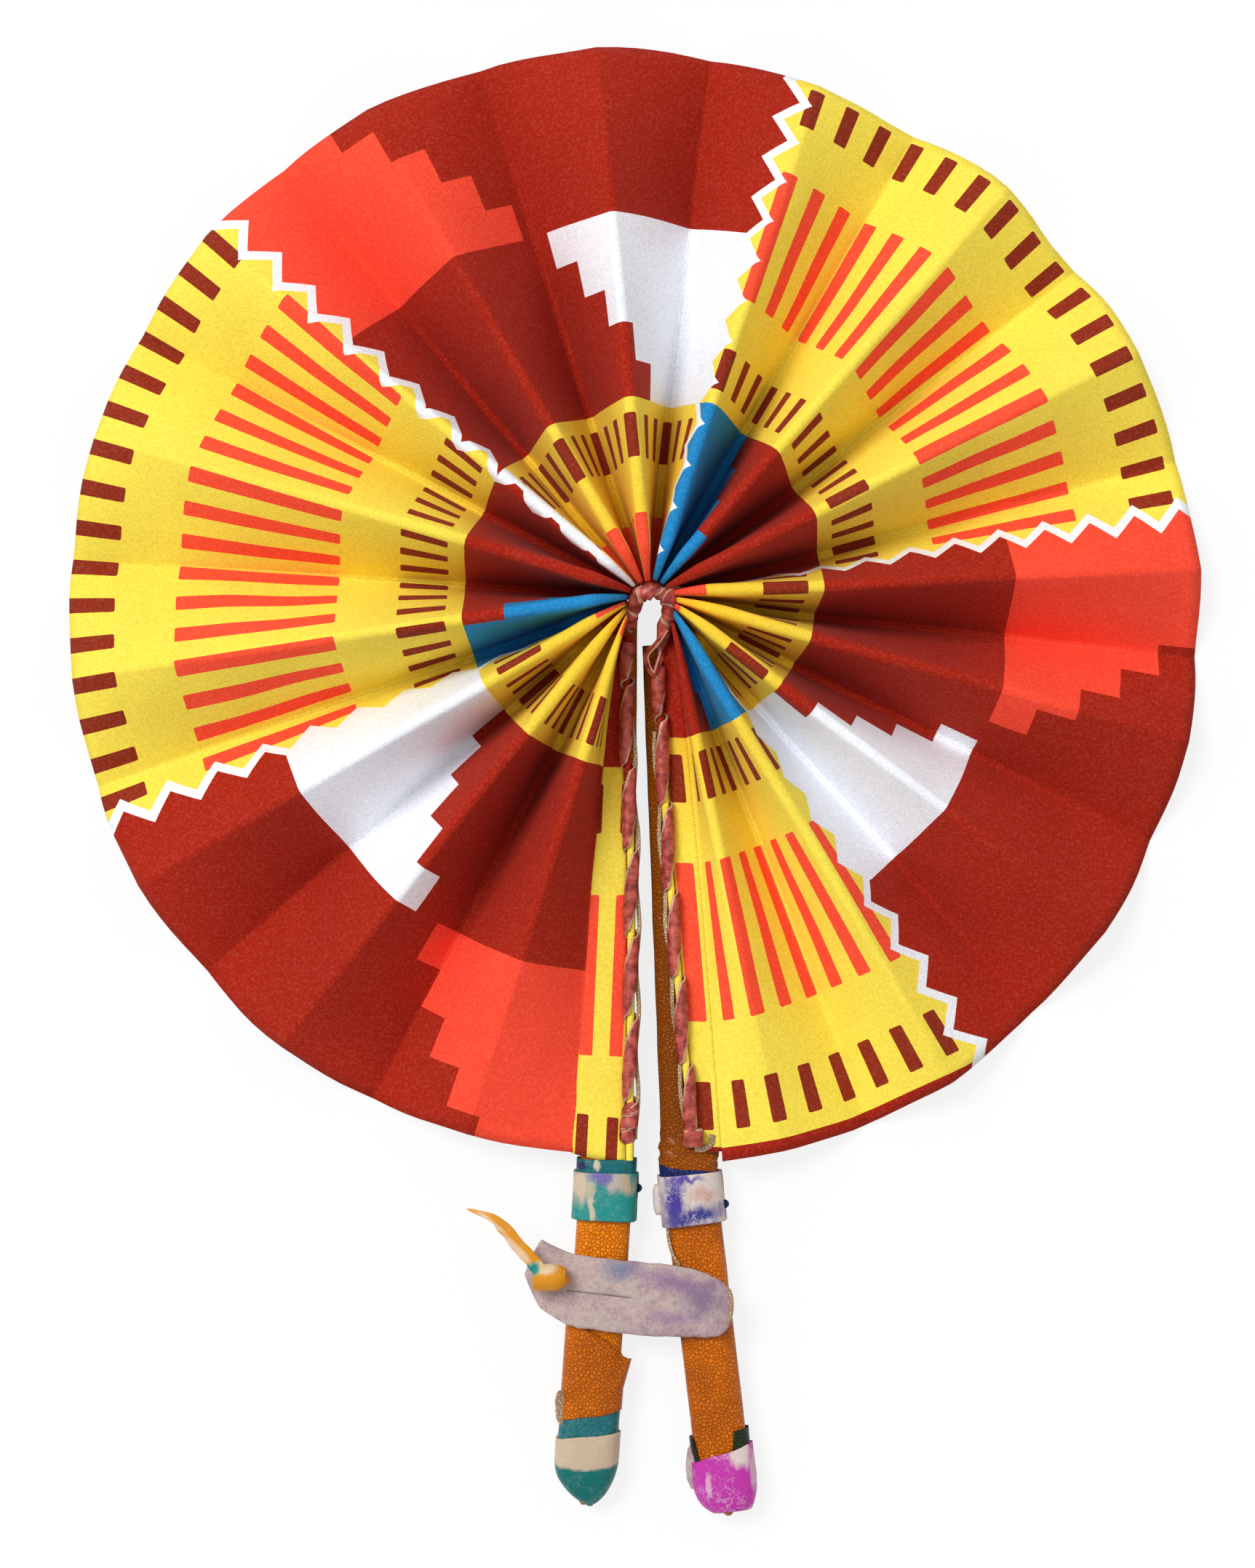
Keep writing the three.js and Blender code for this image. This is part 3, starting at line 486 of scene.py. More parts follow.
# Bars and dashes: one to each square across, with slightly rounded corners.
in_square = add(tree, "Math SUBTRACT", add(tree, "Math FRACT", column), 0.5)
aside = add(tree, "Math MULTIPLY", add(tree, "Math ABSOLUTE", in_square), SQUARE_MM)
from_far = add(tree, "Math SUBTRACT", TILE_MM, height)
from_edge = add(tree, "Math MINIMUM", height, from_far)
CORNER_MM = 0.6
marks = []
for measured, middle_mm, half_long_mm, half_wide_mm in (
    (height, TILE_MM / 2, 22.1, 2.5),
    (from_edge, SQUARE_MM, 6.7, 2.2),
):
    off = add(tree, "Math SUBTRACT", measured, middle_mm)
    off = add(tree, "Math ABSOLUTE", off)
    lengthwise = add(tree, "Math SUBTRACT", off, half_long_mm - CORNER_MM)
    sideways = add(tree, "Math SUBTRACT", aside, half_wide_mm - CORNER_MM)
    past = add(tree, "CombineXYZ", sideways, lengthwise)
    past = add(tree, "VectorMath MAXIMUM", past, (0, 0, 0))
    far = add(tree, "VectorMath LENGTH", past, out="Value")
    marks.append(add(tree, "Math LESS_THAN", far, CORNER_MM))
# The ground turns from lemon to a warmer, golden yellow near the hub: painted shade, standing for the warm
# shade deep in the folds there.
object_place = add(tree, "TexCoord", out="Object")
from_hub = add(tree, "VectorMath DISTANCE", object_place, at(0, 0, 0), out="Value")
clear_of_hub_shade = add(tree, "MapRange", from_hub, 0.015, 0.07, 0.0, 1.0)
yellow = add(tree, "Mix", clear_of_hub_shade, sockets={6: colour("#F6BF1C"), 7: colour("#F8DF4E")}, **COLOURS)
ground = add(tree, "Mix", marks[0], sockets={6: yellow, 7: colour("#FA5034")}, **COLOURS)
ground = add(tree, "Mix", marks[1], sockets={6: ground, 7: colour("#8C2A12")}, **COLOURS)

# Stepped blocks: the edge between them moves almost one square aside for each square inward.
STEP_SQUARES, FIRST_STEP = 0.93, 3.5
inward = add(tree, "Math DIVIDE", from_far, SQUARE_MM)
whole = add(tree, "Math FLOOR", inward)
step_edge = add(tree, "Math MULTIPLY_ADD", whole, STEP_SQUARES, FIRST_STEP)
left_block = add(tree, "Math LESS_THAN", column, step_edge)
outer_half = add(tree, "Math LESS_THAN", inward, 5.0)
maroon = colour("#A4200A")
bright = add(tree, "Mix", inner_row, sockets={6: colour("#F94A32"), 7: colour("#1E86C4")}, **COLOURS)
outer_blocks = add(tree, "Mix", left_block, sockets={6: maroon, 7: bright}, **COLOURS)
inner_blocks = add(tree, "Mix", left_block, sockets={6: colour("#F4F6FC"), 7: maroon}, **COLOURS)
blocks = add(tree, "Mix", outer_half, sockets={6: inner_blocks, 7: outer_blocks}, **COLOURS)
tiles = add(tree, "Mix", stepped, sockets={6: ground, 7: blocks}, **COLOURS)

# Zigzag: a white band 3.8 mm wide.
BAND_HALF_MM = 1.9
wrapped = add(tree, "Math", column, TILE_SQUARES / 2)
wrapped = add(tree, "Math FLOORED_MODULO", wrapped, TILE_SQUARES)
centred = add(tree, "Math SUBTRACT", wrapped, TILE_SQUARES / 2)
from_seam = add(tree, "Math MULTIPLY", centred, SQUARE_MM)
past = add(tree, "Math SUBTRACT", from_seam, swing)
zigzag = add(tree, "Math LESS_THAN", add(tree, "Math ABSOLUTE", past), BAND_HALF_MM)
# By the hub the second seam falls on a fold: its white runs up to the fold, and only one edge is toothed.
toothed = add(tree, "Math GREATER_THAN", past, -BAND_HALF_MM)
past_seam = add(tree, "Math GREATER_THAN", from_seam, 0.0)
toothed = add(tree, "Math MAXIMUM", toothed, past_seam)
before_fold = add(tree, "Math LESS_THAN", from_seam, 2.2)
toothed = add(tree, "Math MULTIPLY", toothed, before_fold)
seam = add(tree, "Math MULTIPLY_ADD", squares, 1 / TILE_SQUARES, 0.5)
second = add(tree, "Math COMPARE", add(tree, "Math FLOOR", seam), 1.0, 0.1)
on_fold = add(tree, "Math MULTIPLY", inner_row, second)
band = add(tree, "Mix", on_fold, sockets={2: zigzag, 3: toothed})
printed = add(tree, "Mix", band, sockets={6: tiles, 7: colour("#F2F4F8")}, **COLOURS)

# Plain weave, drawn at 0.9 mm a thread, three times as coarse as the real one, so that it shows at all.
THREAD_MM = 0.9
warp = add(tree, "Math MULTIPLY", degrees, CLOTH_PER_DEGREE * 2 * math.pi / THREAD_MM)
weft = add(tree, "Math MULTIPLY", outward, 2 * math.pi / THREAD_MM)
over, under = (add(tree, "Math SINE", thread) for thread in (warp, weft))
woven = add(tree, "Math MULTIPLY", over, under)
weave = add(tree, "Bump", sockets={"Strength": 0.5, "Distance": 0.00008, "Height": woven})
# The dye takes unevenly and pale thread shows through, in flecks drawn about twice as wide as real ones.
FLECK_MM = 0.8
faded = add(tree, "TexNoise", object_place, sockets={"Scale": 1000 / 30, "Detail": 5.0})
flecks = add(tree, "TexNoise", object_place, sockets={"Scale": 1000 / FLECK_MM, "Detail": 1.0})
uneven = add(tree, "Math MULTIPLY_ADD", flecks, 0.42, 0.8)
fading = add(tree, "MapRange", faded, 0.3, 0.7, 0.94, 1.05)
fading = add(tree, "Math MULTIPLY", uneven, fading)
shade = add(tree, "Math MULTIPLY_ADD", woven, 0.03, fading)
bare = add(tree, "MapRange", flecks, 0.46, 0.74, 0.0, 0.035)
worn = add(tree, "Mix", bare, sockets={6: printed, 7: colour("#E8C8B4")}, **COLOURS)
dyed = add(tree, "Mix", 1.0, sockets={6: worn, 7: shade}, blend_type="MULTIPLY", **COLOURS)
surface = add(
    tree, "BsdfPrincipled", dyed,
    sockets={"Roughness": 0.85, "Normal": weave, "Sheen Weight": 0.03, "Specular IOR Level": 0.12},
)
add(tree, "OutputMaterial", surface)


def pleat_place(pleat):
    return lambda across, along: pleat_cloth(pleat, across, along)[0]


def pleat_print(pleat):
    def mapped(across, along):
        _, degrees, out = pleat_cloth(pleat, across, along)
        return on_print(degrees, (1 - out) * (rim_reach(degrees) - EYE_RADIUS))

    return mapped


# Closed, the pleats would stand side by side between the sticks, each as thin as its cloth, the outer ones
# moved in towards the middle of the bundle and leaned in a little at the rim, to stay clear of the sticks and
# cuffs.
# The loop works out each pleat's inner end and line for that but uses neither; it only gives each pleat a
# mesh of its own.
CLOSED_INWARD_MM, CLOSED_LEAN = 1.5, 0.0087
for pleat in range(PLEATS):
    node = f"pleat_{pleat + 1:02d}"
    cloth = finished(
        shaped(f"leaf_{node}", 2 * PANEL_COLUMNS, LEAF_ROWS, pleat_place(pleat), pleat_print(pleat)),
        printed_cotton, node, "printed_cloth", node, thickness=CLOTH,
    )
    inner = fold_point(2 * pleat + 1, 0)
    line = (fold_point(2 * pleat + 1, 1) - inner).normalized()
    aside = Vector((line.y, -line.x))
    off_middle = (2 * pleat + 1) / PLEATS - 1
    inner -= aside * (0.3 + CLOSED_INWARD_MM * off_middle)
    line -= aside * CLOSED_LEAN * off_middle
    at(inner.x, inner.y, STICK_Z)
    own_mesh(cloth)

# End panels: the strip's two ends lie flat on the sticks, between the laced edge and the outermost fold.
LACE_TOP, RIGHT_LACE_TOP, LACE_FOOT = -7.5, -14.0, -146.0
PIPING_RADIUS = 1.0
LACE_LEATHER = 0.5
LACE_RADIUS = (PIPING_RADIUS + 0.3) * 1.15
COIL_RADIUS = LACE_RADIUS + LACE_LEATHER
LACE_Z = SLEEVE_TOP + 0.3 + COIL_RADIUS
# The stretch of its fold that each end panel runs along, for the left one and the right one.
PANEL_SPAN = {-1: (0.03, 1.0), 1: (0.0, 0.983)}


def left_lace_x(y):
    """Near the stick's inner edge, and a little further from it along the upper third."""
    return middle_x(LEFT, y) + 6.3 - 1.7 * math.exp(-(((y + 28) / 30) ** 2))


def right_lace_x(y):
    """A little inside the stick's middle line at the hub, and a little outside it at the foot."""
    share = (LACE_TOP - y) / (LACE_TOP - LACE_FOOT)
    return middle_x(RIGHT, y) - 3.3 + 4.8 * share * share


def end_panel(fold, lace_x, side):
    """side is -1 left of its lace and 1 right of it, the way in which the panel reaches."""

    def spot(across, along):
        out = PANEL_SPAN[side][0] + (PANEL_SPAN[side][1] - PANEL_SPAN[side][0]) * along
        edge = fold_point(fold, out)
        inner = lace_x(edge.y) + side * (COIL_RADIUS * 0.6)
        return inner + (edge.x - inner) * across, edge, out

    def place(across, along):
        x, edge, out = spot(across, along)
        y = edge.y
        if side < 0:
            # Its foot is cut at a slant, and the lower end is tucked under the lining.
            y += out**8 * (3.4 * across - 0.4)
        tucked = 0.5 * min(1.0, max(0.0, (-149.5 - y) / 2)) if side < 0 else 0.0
        return x, y, floor_z(x, y) + 0.12 * ripple(x, y, 9, 14) - tucked

    def mapped(across, along):
        x, edge, out = spot(across, along)
        if side < 0:
            # The left end is drawn together: its bars are only 8.3 mm apart, and lean along the fold.
            degrees = -1.6 - (x + 15.6 - 0.045 * (edge.y + 78.6)) * 4 / 8.3
        else:
            degrees = LEAF_TO + abs(edge.x - x) / CLOTH_PER_DEGREE
        return on_print(degrees, (1 - out) * (rim_reach(fold_angle(fold)) - EYE_RADIUS))

    return place, mapped


end_panels, end_cuts = [], []
for side_name, fold, lace_x, side in (("left", 0, left_lace_x, -1), ("right", 2 * PLEATS, right_lace_x, 1)):
    panel = finished(
        shaped(f"leaf_{side_name}_end", 8, 60, *end_panel(fold, lace_x, side)),
        printed_cotton, f"{side_name}_stick", "printed_cloth", f"{side_name}_end_panel", thickness=CLOTH,
    )
    start, end = PANEL_SPAN[side]
    spots = [fold_point(fold, start + (end - start) * i / 20) for i in range(21)]
    widths = [abs(spot.x - lace_x(spot.y) - side * COIL_RADIUS * 0.6) for spot in spots]
    length = spots[0].y - spots[-1].y
    end_panels.append(panel)
    end_cuts.append((max(widths) * MM, length * MM, sum(widths) / len(widths) * length * MM * MM))

# Lacing: the cloth's raw edge is rolled round itself, and a flat red leather lace is whipped round the roll.
LACE_WIDTH = 4.4
# The share of each turn's pitch that the lace takes to cross behind the roll.
BEHIND = 0.14


def curve_place(points, share):
    """A smooth curve through the points, as a place on it and its direction there."""
    last = len(points) - 1
    i = min(int(share * last), last - 1)
    t = share * last - i
    a, b, c, d = (Vector(points[min(max(j, 0), last)]) for j in (i - 1, i, i + 1, i + 2))
    spot = (b * 2 + (c - a) * t + (a * 2 - b * 5 + c * 4 - d) * t * t + (b * 3 - a - c * 3 + d) * t**3) / 2
    lead = (c - a) + (a * 4 - b * 10 + c * 8 - d * 2) * t + (b * 9 - a * 3 - c * 9 + d * 3) * t * t
    return spot, lead.normalized()


def round_strand(name, columns, rows, points, radius, mapped=None):
    """A solid strand that follows a curve: radius(across, along) is how far out its surface lies."""

    def place(across, along):
        spot, lead = curve_place(points, along)
        level = lead.cross(Vector((0, 0, 1)))
        level = level.normalized() if level.length > 1e-6 else Vector((1, 0, 0))
        up = level.cross(lead)
        angle = 2 * math.pi * across
        reach = radius(across, along)
        return tuple(spot + level * math.cos(angle) * reach + up * math.sin(angle) * reach)

    return shaped(name, columns, rows, place, mapped, closed=True)


def drawn_in(along, quickly, power, blunt=0.0):
    """How thick a strand is near its two ends, which are pulled in: a share, up to 1."""
    return min(1.0, quickly * min(along + blunt, 1 + blunt - along)) ** power


def ribbon(name, columns, rows, points, half_width, tilt=0.0):
    """A narrow strip of leather that follows a curve, turned up on its edge by tilt."""

    def place(across, along):
        spot, lead = curve_place(points, along)
        side = 2 * across - 1
        level = Vector((-lead.y, lead.x, 0)).normalized() * math.cos(tilt)
        ragged = 1 + 0.12 * ripple(along * 30, side * 3, 5, 3)
        return tuple(spot + (level + Vector((0, 0, math.sin(tilt)))) * half_width(along) * side * ragged)

    return shaped(name, columns, rows, place)


def lace_leather():
    """Flat lace cut from red dyed leather: its cut edges show the undyed beige inside."""
    made, tree = new_material("red_lace_leather")
    cut = add(tree, "SeparateXYZ", add(tree, "UVMap", uv_map="cut"))
    off = add(tree, "Math ABSOLUTE", add(tree, "Math SUBTRACT", cut, 0.5))
    place = add(tree, "TexCoord", out="Object")
    worn = add(tree, "TexNoise", place, sockets={"Scale": 1000 / 2.5, "Detail": 3.0})
    ragged = add(tree, "Math MULTIPLY_ADD", worn, 0.16, off)
    raw = add(tree, "MapRange", ragged, 0.475, 0.505, 0.0, 1.0)
    streaks = add(tree, "MapRange", worn, 0.36, 0.64, 0.0, 1.0)
    dye = add(tree, "Mix", streaks, sockets={6: colour("#842A24"), 7: colour("#C65A4C")}, **COLOURS)
    face = add(tree, "Mix", raw, sockets={6: dye, 7: colour("#CFA588")}, **COLOURS)
    scales = add(tree, "TexVoronoi", place, sockets={"Scale": 1000 / 0.8}, feature="DISTANCE_TO_EDGE")
    grain = add(tree, "Bump", sockets={"Strength": 0.7, "Distance": 0.0002, "Height": scales})
    surface = add(
        tree, "BsdfPrincipled", face,
        sockets={"Roughness": 0.36, "Normal": grain, "Specular IOR Level": 0.4},
    )
    add(tree, "OutputMaterial", surface)
    return made


red_lace = lace_leather()
# Where leather is cut, its undyed inside shows: pale, dry and almost matt.
pale_edge = leather("undyed_cut_leather", "#D8BC9A", "#BE9670", 0.9, 0.55)


def whipped(lace_x, top, foot, tip, pitch):
    """Each turn of the lace slants down across the front, and crosses behind almost level."""

    def place(across, along):
        side = 2 * across - 1
        y = top - 2 + (foot - top + 2) * along
        gone = (tip - y) / pitch
        part = gone - math.floor(gone)
        turn = 0.5 + (0.5 * part / BEHIND if part < BEHIND else 0.5 + 0.5 * (part - BEHIND) / (1 - BEHIND))
        half = LACE_WIDTH / 2 * (1 + 0.25 * max(0.0, 1 - along * 3) + 0.12 * ripple(y, 0, 4, 6))
        steep = math.atan2(math.pi * LACE_RADIUS, pitch)
        y += side * half * math.sin(steep)
        angle = 2 * math.pi * turn + side * half * math.cos(steep) / LACE_RADIUS
        domed = 0.35 * (1 - side * side) + 0.12 * side
        reach = LACE_RADIUS + 0.2 + domed + 0.25 * ripple(y, side * 2, 0, 2.5)
        return lace_x(y) + reach * math.cos(angle), y, LACE_Z + reach * math.sin(angle)

    return place


RIM_BELOW_HUB = 154
for side_name, lace_x, top, roll_foot, lace_foot, last_tip, pitch, on_strip, gap_side in (
    ("left", left_lace_x, LACE_TOP, -151.8, -138, -134, 23.0, -7.8, 1),
    ("right", right_lace_x, RIGHT_LACE_TOP, LACE_FOOT, -143.5, -124, 23.8, 356.0, -1),
):
    roll_line = [(lace_x(y), y, LACE_Z) for y in [top + (roll_foot - top) * i / 12 for i in range(13)]]
    finished(
        round_strand(
            f"{side_name}_rolled_edge", 12, 60, roll_line,
            lambda across, along: PIPING_RADIUS + 0.15 * ripple(along * 140, 0, 2, 8),
            lambda across, along: on_print(on_strip, RIM_BELOW_HUB + top + (LACE_FOOT - top) * along),
        ),
        printed_cotton, f"{side_name}_stick", "printed_cloth", f"{side_name}_piping",
    )
    finished(
        shaped(f"{side_name}_whipped_lace", 8, 420, whipped(lace_x, top, lace_foot, last_tip, pitch)),
        red_lace, f"{side_name}_stick", "lace_leather", f"{side_name}_lace", thickness=LACE_LEATHER,
    )
    # Between its turns the lace's other strand runs down the roll's gap side, and shows its pale cut edge.
    edge_line = [
        (lace_x(y) + gap_side * (LACE_RADIUS + 0.35 + 0.4 * math.sin(y * 0.27)), y, LACE_Z - 0.3)
        for y in [top - 20 + (LACE_FOOT - top + 20) * i / 24 for i in range(25)]
    ]
    finished(
        ribbon(f"{side_name}_laid_lace", 4, 160, edge_line, lambda along: 0.55, 0.5),
        pale_edge, f"{side_name}_stick", "lace_leather", thickness=LACE_LEATHER,
    )

# The left lace ends in tight turns round the roll, the right one in a flat block tied across with thread.
foot_x, block_x = left_lace_x(-142), right_lace_x(-145.5)
foot_line = [
    (foot_x + 0.6, -135.6, LACE_Z + 0.4), (foot_x, -140, LACE_Z), (foot_x - 0.6, -144, LACE_Z),
    (foot_x - 0.4, -147.4, LACE_Z - 0.6),
]
block_line = [(block_x, -143 - 1.7 * i, SLEEVE_TOP + 2.2 - 0.2 * i) for i in range(4)]
FOOT_TURNS = 3


def tight_turns(across, along):
    """Each turn laps over the one before, and both ends are drawn in."""
    lapped = 0.5 * (FOOT_TURNS * along + across) % 1
    return (1.9 + 0.7 * lapped + 0.25 * ripple(across * 6, along * 12, 1, 2)) * drawn_in(along, 5, 0.5, 0.02)


def tied_block(across, along):
    """Almost square, with rounded corners, and both ends are drawn in."""
    angle = 2 * math.pi * across
    square = 2.2 / max(abs(math.cos(angle)) * 0.76, abs(math.sin(angle))) ** 0.85
    return square * drawn_in(along, 9, 0.4, 0.01)


finished(
    round_strand(
        "left_lace_end", 24, 60, foot_line, tight_turns,
        lambda across, along: ((FOOT_TURNS * along + across) % 1, along),
    ),
    red_lace, "left_stick", "lace_leather", "left_lace_tuck",
)
finished(
    round_strand("right_lace_end", 28, 24, block_line, tied_block, lambda across, along: (along, across)),
    red_lace, "right_stick", "lace_leather", "right_lace_tuck",
)
SCRAP_ROUTE = [(0.4, -148.6), (2.8, -148.8), (4.8, -147.4), (5.2, -144.8)]
scrap_line = [(block_x + aside, y, SLEEVE_TOP + 1.4) for aside, y in SCRAP_ROUTE]
finished(
    ribbon("right_lace_scrap", 6, 24, scrap_line, lambda along: 0.8, 0.4),
    pale_edge, "right_stick", "lace_leather", thickness=LACE_LEATHER,
)

# Hub lace: the same lace crosses from stick to stick over the eye, twisted on itself, and gathers the pleats.
HUB_LACE_RADIUS = 2.4
HUB_LACE_ARCH = 9.5
HUB_ROUTE = [
    (-5.1, -3.4, 0.3), (-4.6, 0.2, 0.6), (-2.8, 3.0, 0.9), (0.4, 4.1, 1), (3.8, 3.5, 0.9), (5.6, 1.0, 0.7),
    (5.1, -2.4, 0.4), (3.7, -7.0, 0.13),
]
hub_line = [
    (left_lace_x(LACE_TOP) + 0.3, LACE_TOP + 0.7, LACE_Z + 0.2),
    *((x, y, LACE_Z + HUB_LACE_ARCH * share) for x, y, share in HUB_ROUTE),
    (right_lace_x(RIGHT_LACE_TOP), RIGHT_LACE_TOP + 0.7, LACE_Z + 0.2),
]
HUB_TWISTS = 6.5
HUB_KNOTS = ((0.62, 0.25), (0.33, 0.12))


def twisted(across, along):
    """The lace is twisted on itself, thicker at its two knots, and thins out at both ends."""
    angle = 2 * math.pi * across
    strand = 0.62 + 0.36 * abs(math.sin(math.pi * (across - HUB_TWISTS * along))) ** 0.7
    strand += 0.3 * ripple(math.cos(angle) * 3, along * 70, math.sin(angle) * 3, 4)
    knotted = 1 + sum(more * math.exp(-(((along - spot) / 0.03) ** 2)) for spot, more in HUB_KNOTS)
    return HUB_LACE_RADIUS * strand * knotted * drawn_in(along, 6, 0.4)


finished(
    round_strand(
        "hub_lacing", 28, 200, hub_line, twisted,
        lambda across, along: ((across - HUB_TWISTS * along) % 1.0, along),
    ),
    red_lace, "hub", "lace_leather", "hub_lace",
)
KNOT_ROUTE = [(3.6, 1.4, 2.6), (5.4, 3.4, 3.0), (7.6, 4.4, 1.6), (8.0, 2.4, 0.6)]
knot_line = [(x, y, LACE_Z + HUB_LACE_ARCH * 0.8 + up) for x, y, up in KNOT_ROUTE]
finished(
    ribbon("hub_knot_end", 6, 30, knot_line, lambda along: min(1.0, 0.2 + 3 * min(along, 1 - along)), 0.5),
    red_lace, "hub", "lace_leather", thickness=LACE_LEATHER,
)

# Below the hub the lace of the right stick stands off in a slack loop before it starts to wind.
LOOP_ROUTE = [
    (4.6, -6.0, 3.8), (2.0, -9.8, 3.2), (-0.7, -12.8, 2.6), (-0.6, -15.6, 2.4), (1.2, -18.4, 2.6),
    (2.4, -15.6, 3.0), (3.4, -12.4, 3.0),
]
loop_line = [(x, y, LACE_Z + up) for x, y, up in LOOP_ROUTE]
finished(
    ribbon("slack_lace_loop", 6, 60, loop_line, lambda along: 0.85, 0.75),
    red_lace, "right_stick", "lace_leather", thickness=LACE_LEATHER,
)

# Cuffs: a strip of marbled dyed leather is wound once round each stick under the leaf, over a darker lining.
# The dyes were dabbed on by hand before the strips were cut.


def dabbed(tree, place, dye, patches, bleed_mm, blend):
    """The dye with patches of others dabbed on.

    A patch is its middle, half sizes and tilt, in millimetres from the hub and degrees, and its dye. The dyes
    wander by bleed_mm, mostly down the stick, and run together over a share of the patch's size.
    """
    drawn = add(tree, "Mapping", place, sockets={"Scale": (1000 / 3, 1000 / 8, 1000 / 3)})
    run = add(tree, "TexNoise", drawn, sockets={"Scale": 1.0, "Detail": 7.0, "Roughness": 0.62}, out=1)
    bled = add(tree, "VectorMath MULTIPLY_ADD", run, (bleed_mm * MM, bleed_mm * MM, 0), place)
    for x, y, half_x, half_y, tilt, hex_code in patches:
        middle = at(x + bleed_mm / 2, y + bleed_mm / 2, 0)
        inside = add(
            tree, "Mapping", bled, middle, (0, 0, math.radians(tilt)), (half_x * MM, half_y * MM, 1),
            vector_type="TEXTURE",
        )
        far = add(tree, "VectorMath LENGTH", inside, out="Value")
        share = add(tree, "MapRange", far, 1 - blend, 1 + blend, 1.0, 0.0)
        dye = add(tree, "Mix", share, sockets={6: dye, 7: colour(hex_code)}, **COLOURS)
    return dye


def dyed_by_hand(name, base, patches, crackle, bleed_mm=6.0, blend=0.3):
    """Leather dabbed with dyes that run together, then rubbed, so that the grain cracks pale in places."""
    made, tree = new_material(name)
    place = add(tree, "TexCoord", out="Object")
    dye = dabbed(tree, place, colour(base), patches, bleed_mm, blend)
    vein = add(
        tree, "TexNoise", place,
        sockets={"Scale": 1000 / 2.4, "Detail": 5.0, "Roughness": 0.6, "Distortion": 0.8},
    )
    off = add(tree, "Math ABSOLUTE", add(tree, "Math SUBTRACT", vein, 0.5))
    worn = add(tree, "TexNoise", place, sockets={"Scale": 1000 / 5, "Detail": 2.0})
    where = add(tree, "MapRange", worn, 0.4, 0.6, 0.0, crackle)
    line = add(tree, "Math MULTIPLY", add(tree, "MapRange", off, 0.0, 0.03, 1.0, 0.0), where)
    rubbed = add(tree, "Mix", line, sockets={6: dye, 7: colour("#E2D8D0")}, **COLOURS)
    grain = add(tree, "Bump", sockets={"Strength": 0.6, "Distance": 0.0004, "Height": vein})
    surface = add(
        tree, "BsdfPrincipled", rubbed,
        sockets={"Roughness": 0.34, "Normal": grain, "Specular IOR Level": 0.22},
    )
    add(tree, "OutputMaterial", surface)
    return made


teal_marble = dyed_by_hand(
    "teal_marbled_leather", "#1F8A84",
    [(-19.2, -159.2, 3.6, 4.4, 0, "#C9B69C"), (-15.4, -165.4, 1.0, 4.8, 4, "#C6B89E"),
     (-9.4, -158.4, 3.0, 2.6, 0, "#B7A9A0"), (-13.6, -156.8, 2.6, 2.0, 0, "#7466A6"),
     (-6.3, -158.2, 1.9, 2.9, 0, "#B8A488")], 0.12, 8.0, 0.4,
)
violet_marble = dyed_by_hand(
    "violet_marbled_leather", "#D2C2BC",
    [(14.6, -161.8, 3.4, 2.2, 0, "#C29C92"), (6.8, -163.4, 2.7, 7.0, 0, "#443890"),
     (9.6, -157.4, 4.4, 1.0, 4, "#584AA0"), (12.4, -167.8, 8.4, 2.1, 14, "#3E3A84"),
     (17.8, -169.6, 2.6, 1.2, 10, "#B09CB4")], 0.7, 8.0, 0.5,
)
teal_leather = dyed_by_hand(
    "teal_dyed_leather", "#12666C",
    [(-18.6, -153.6, 2.0, 1.2, 0, "#1B2C55"), (-14.4, -153.4, 0.7, 1.8, 0, "#CBBFA4"),
     (-21, -154, 0.7, 2, 0, "#C9A9A0")], 0.12, 3.0,
)
navy_leather = leather("navy_dyed_leather", "#24357A", "#16204C", 0.9, 0.38)
BAND_OVER = 0.62
CUFF_OVER = 1.29


def strip_round(stick, top, foot, over, seed, overlap=0.5, slant=0.0, dip=0.0):
    """A strip wound round the stick: its outer end lies on its inner one, and its edges wander.

    slant lifts its right side by so much a millimetre, and dip cuts its top edge down in the middle.
    """

    def place(across, along):
        turn = across - 0.03
        rightward = math.cos(2 * math.pi * turn)
        edge = 0.5 * ripple(across * 30, seed, 1, 8) + slant * rightward * SLEEVE_WIDTH / 2
        middle = dip * (1 - along) * min(1.0, max(0.0, 6 * (0.62 - abs(rightward + 0.245))))
        y = top + (foot - top) * along + edge - middle
        grow = over + overlap * (across - 0.5) + 0.18 * ripple(across * 45, y, seed, 5)
        return round_stick(stick, y, turn, grow)

    return place


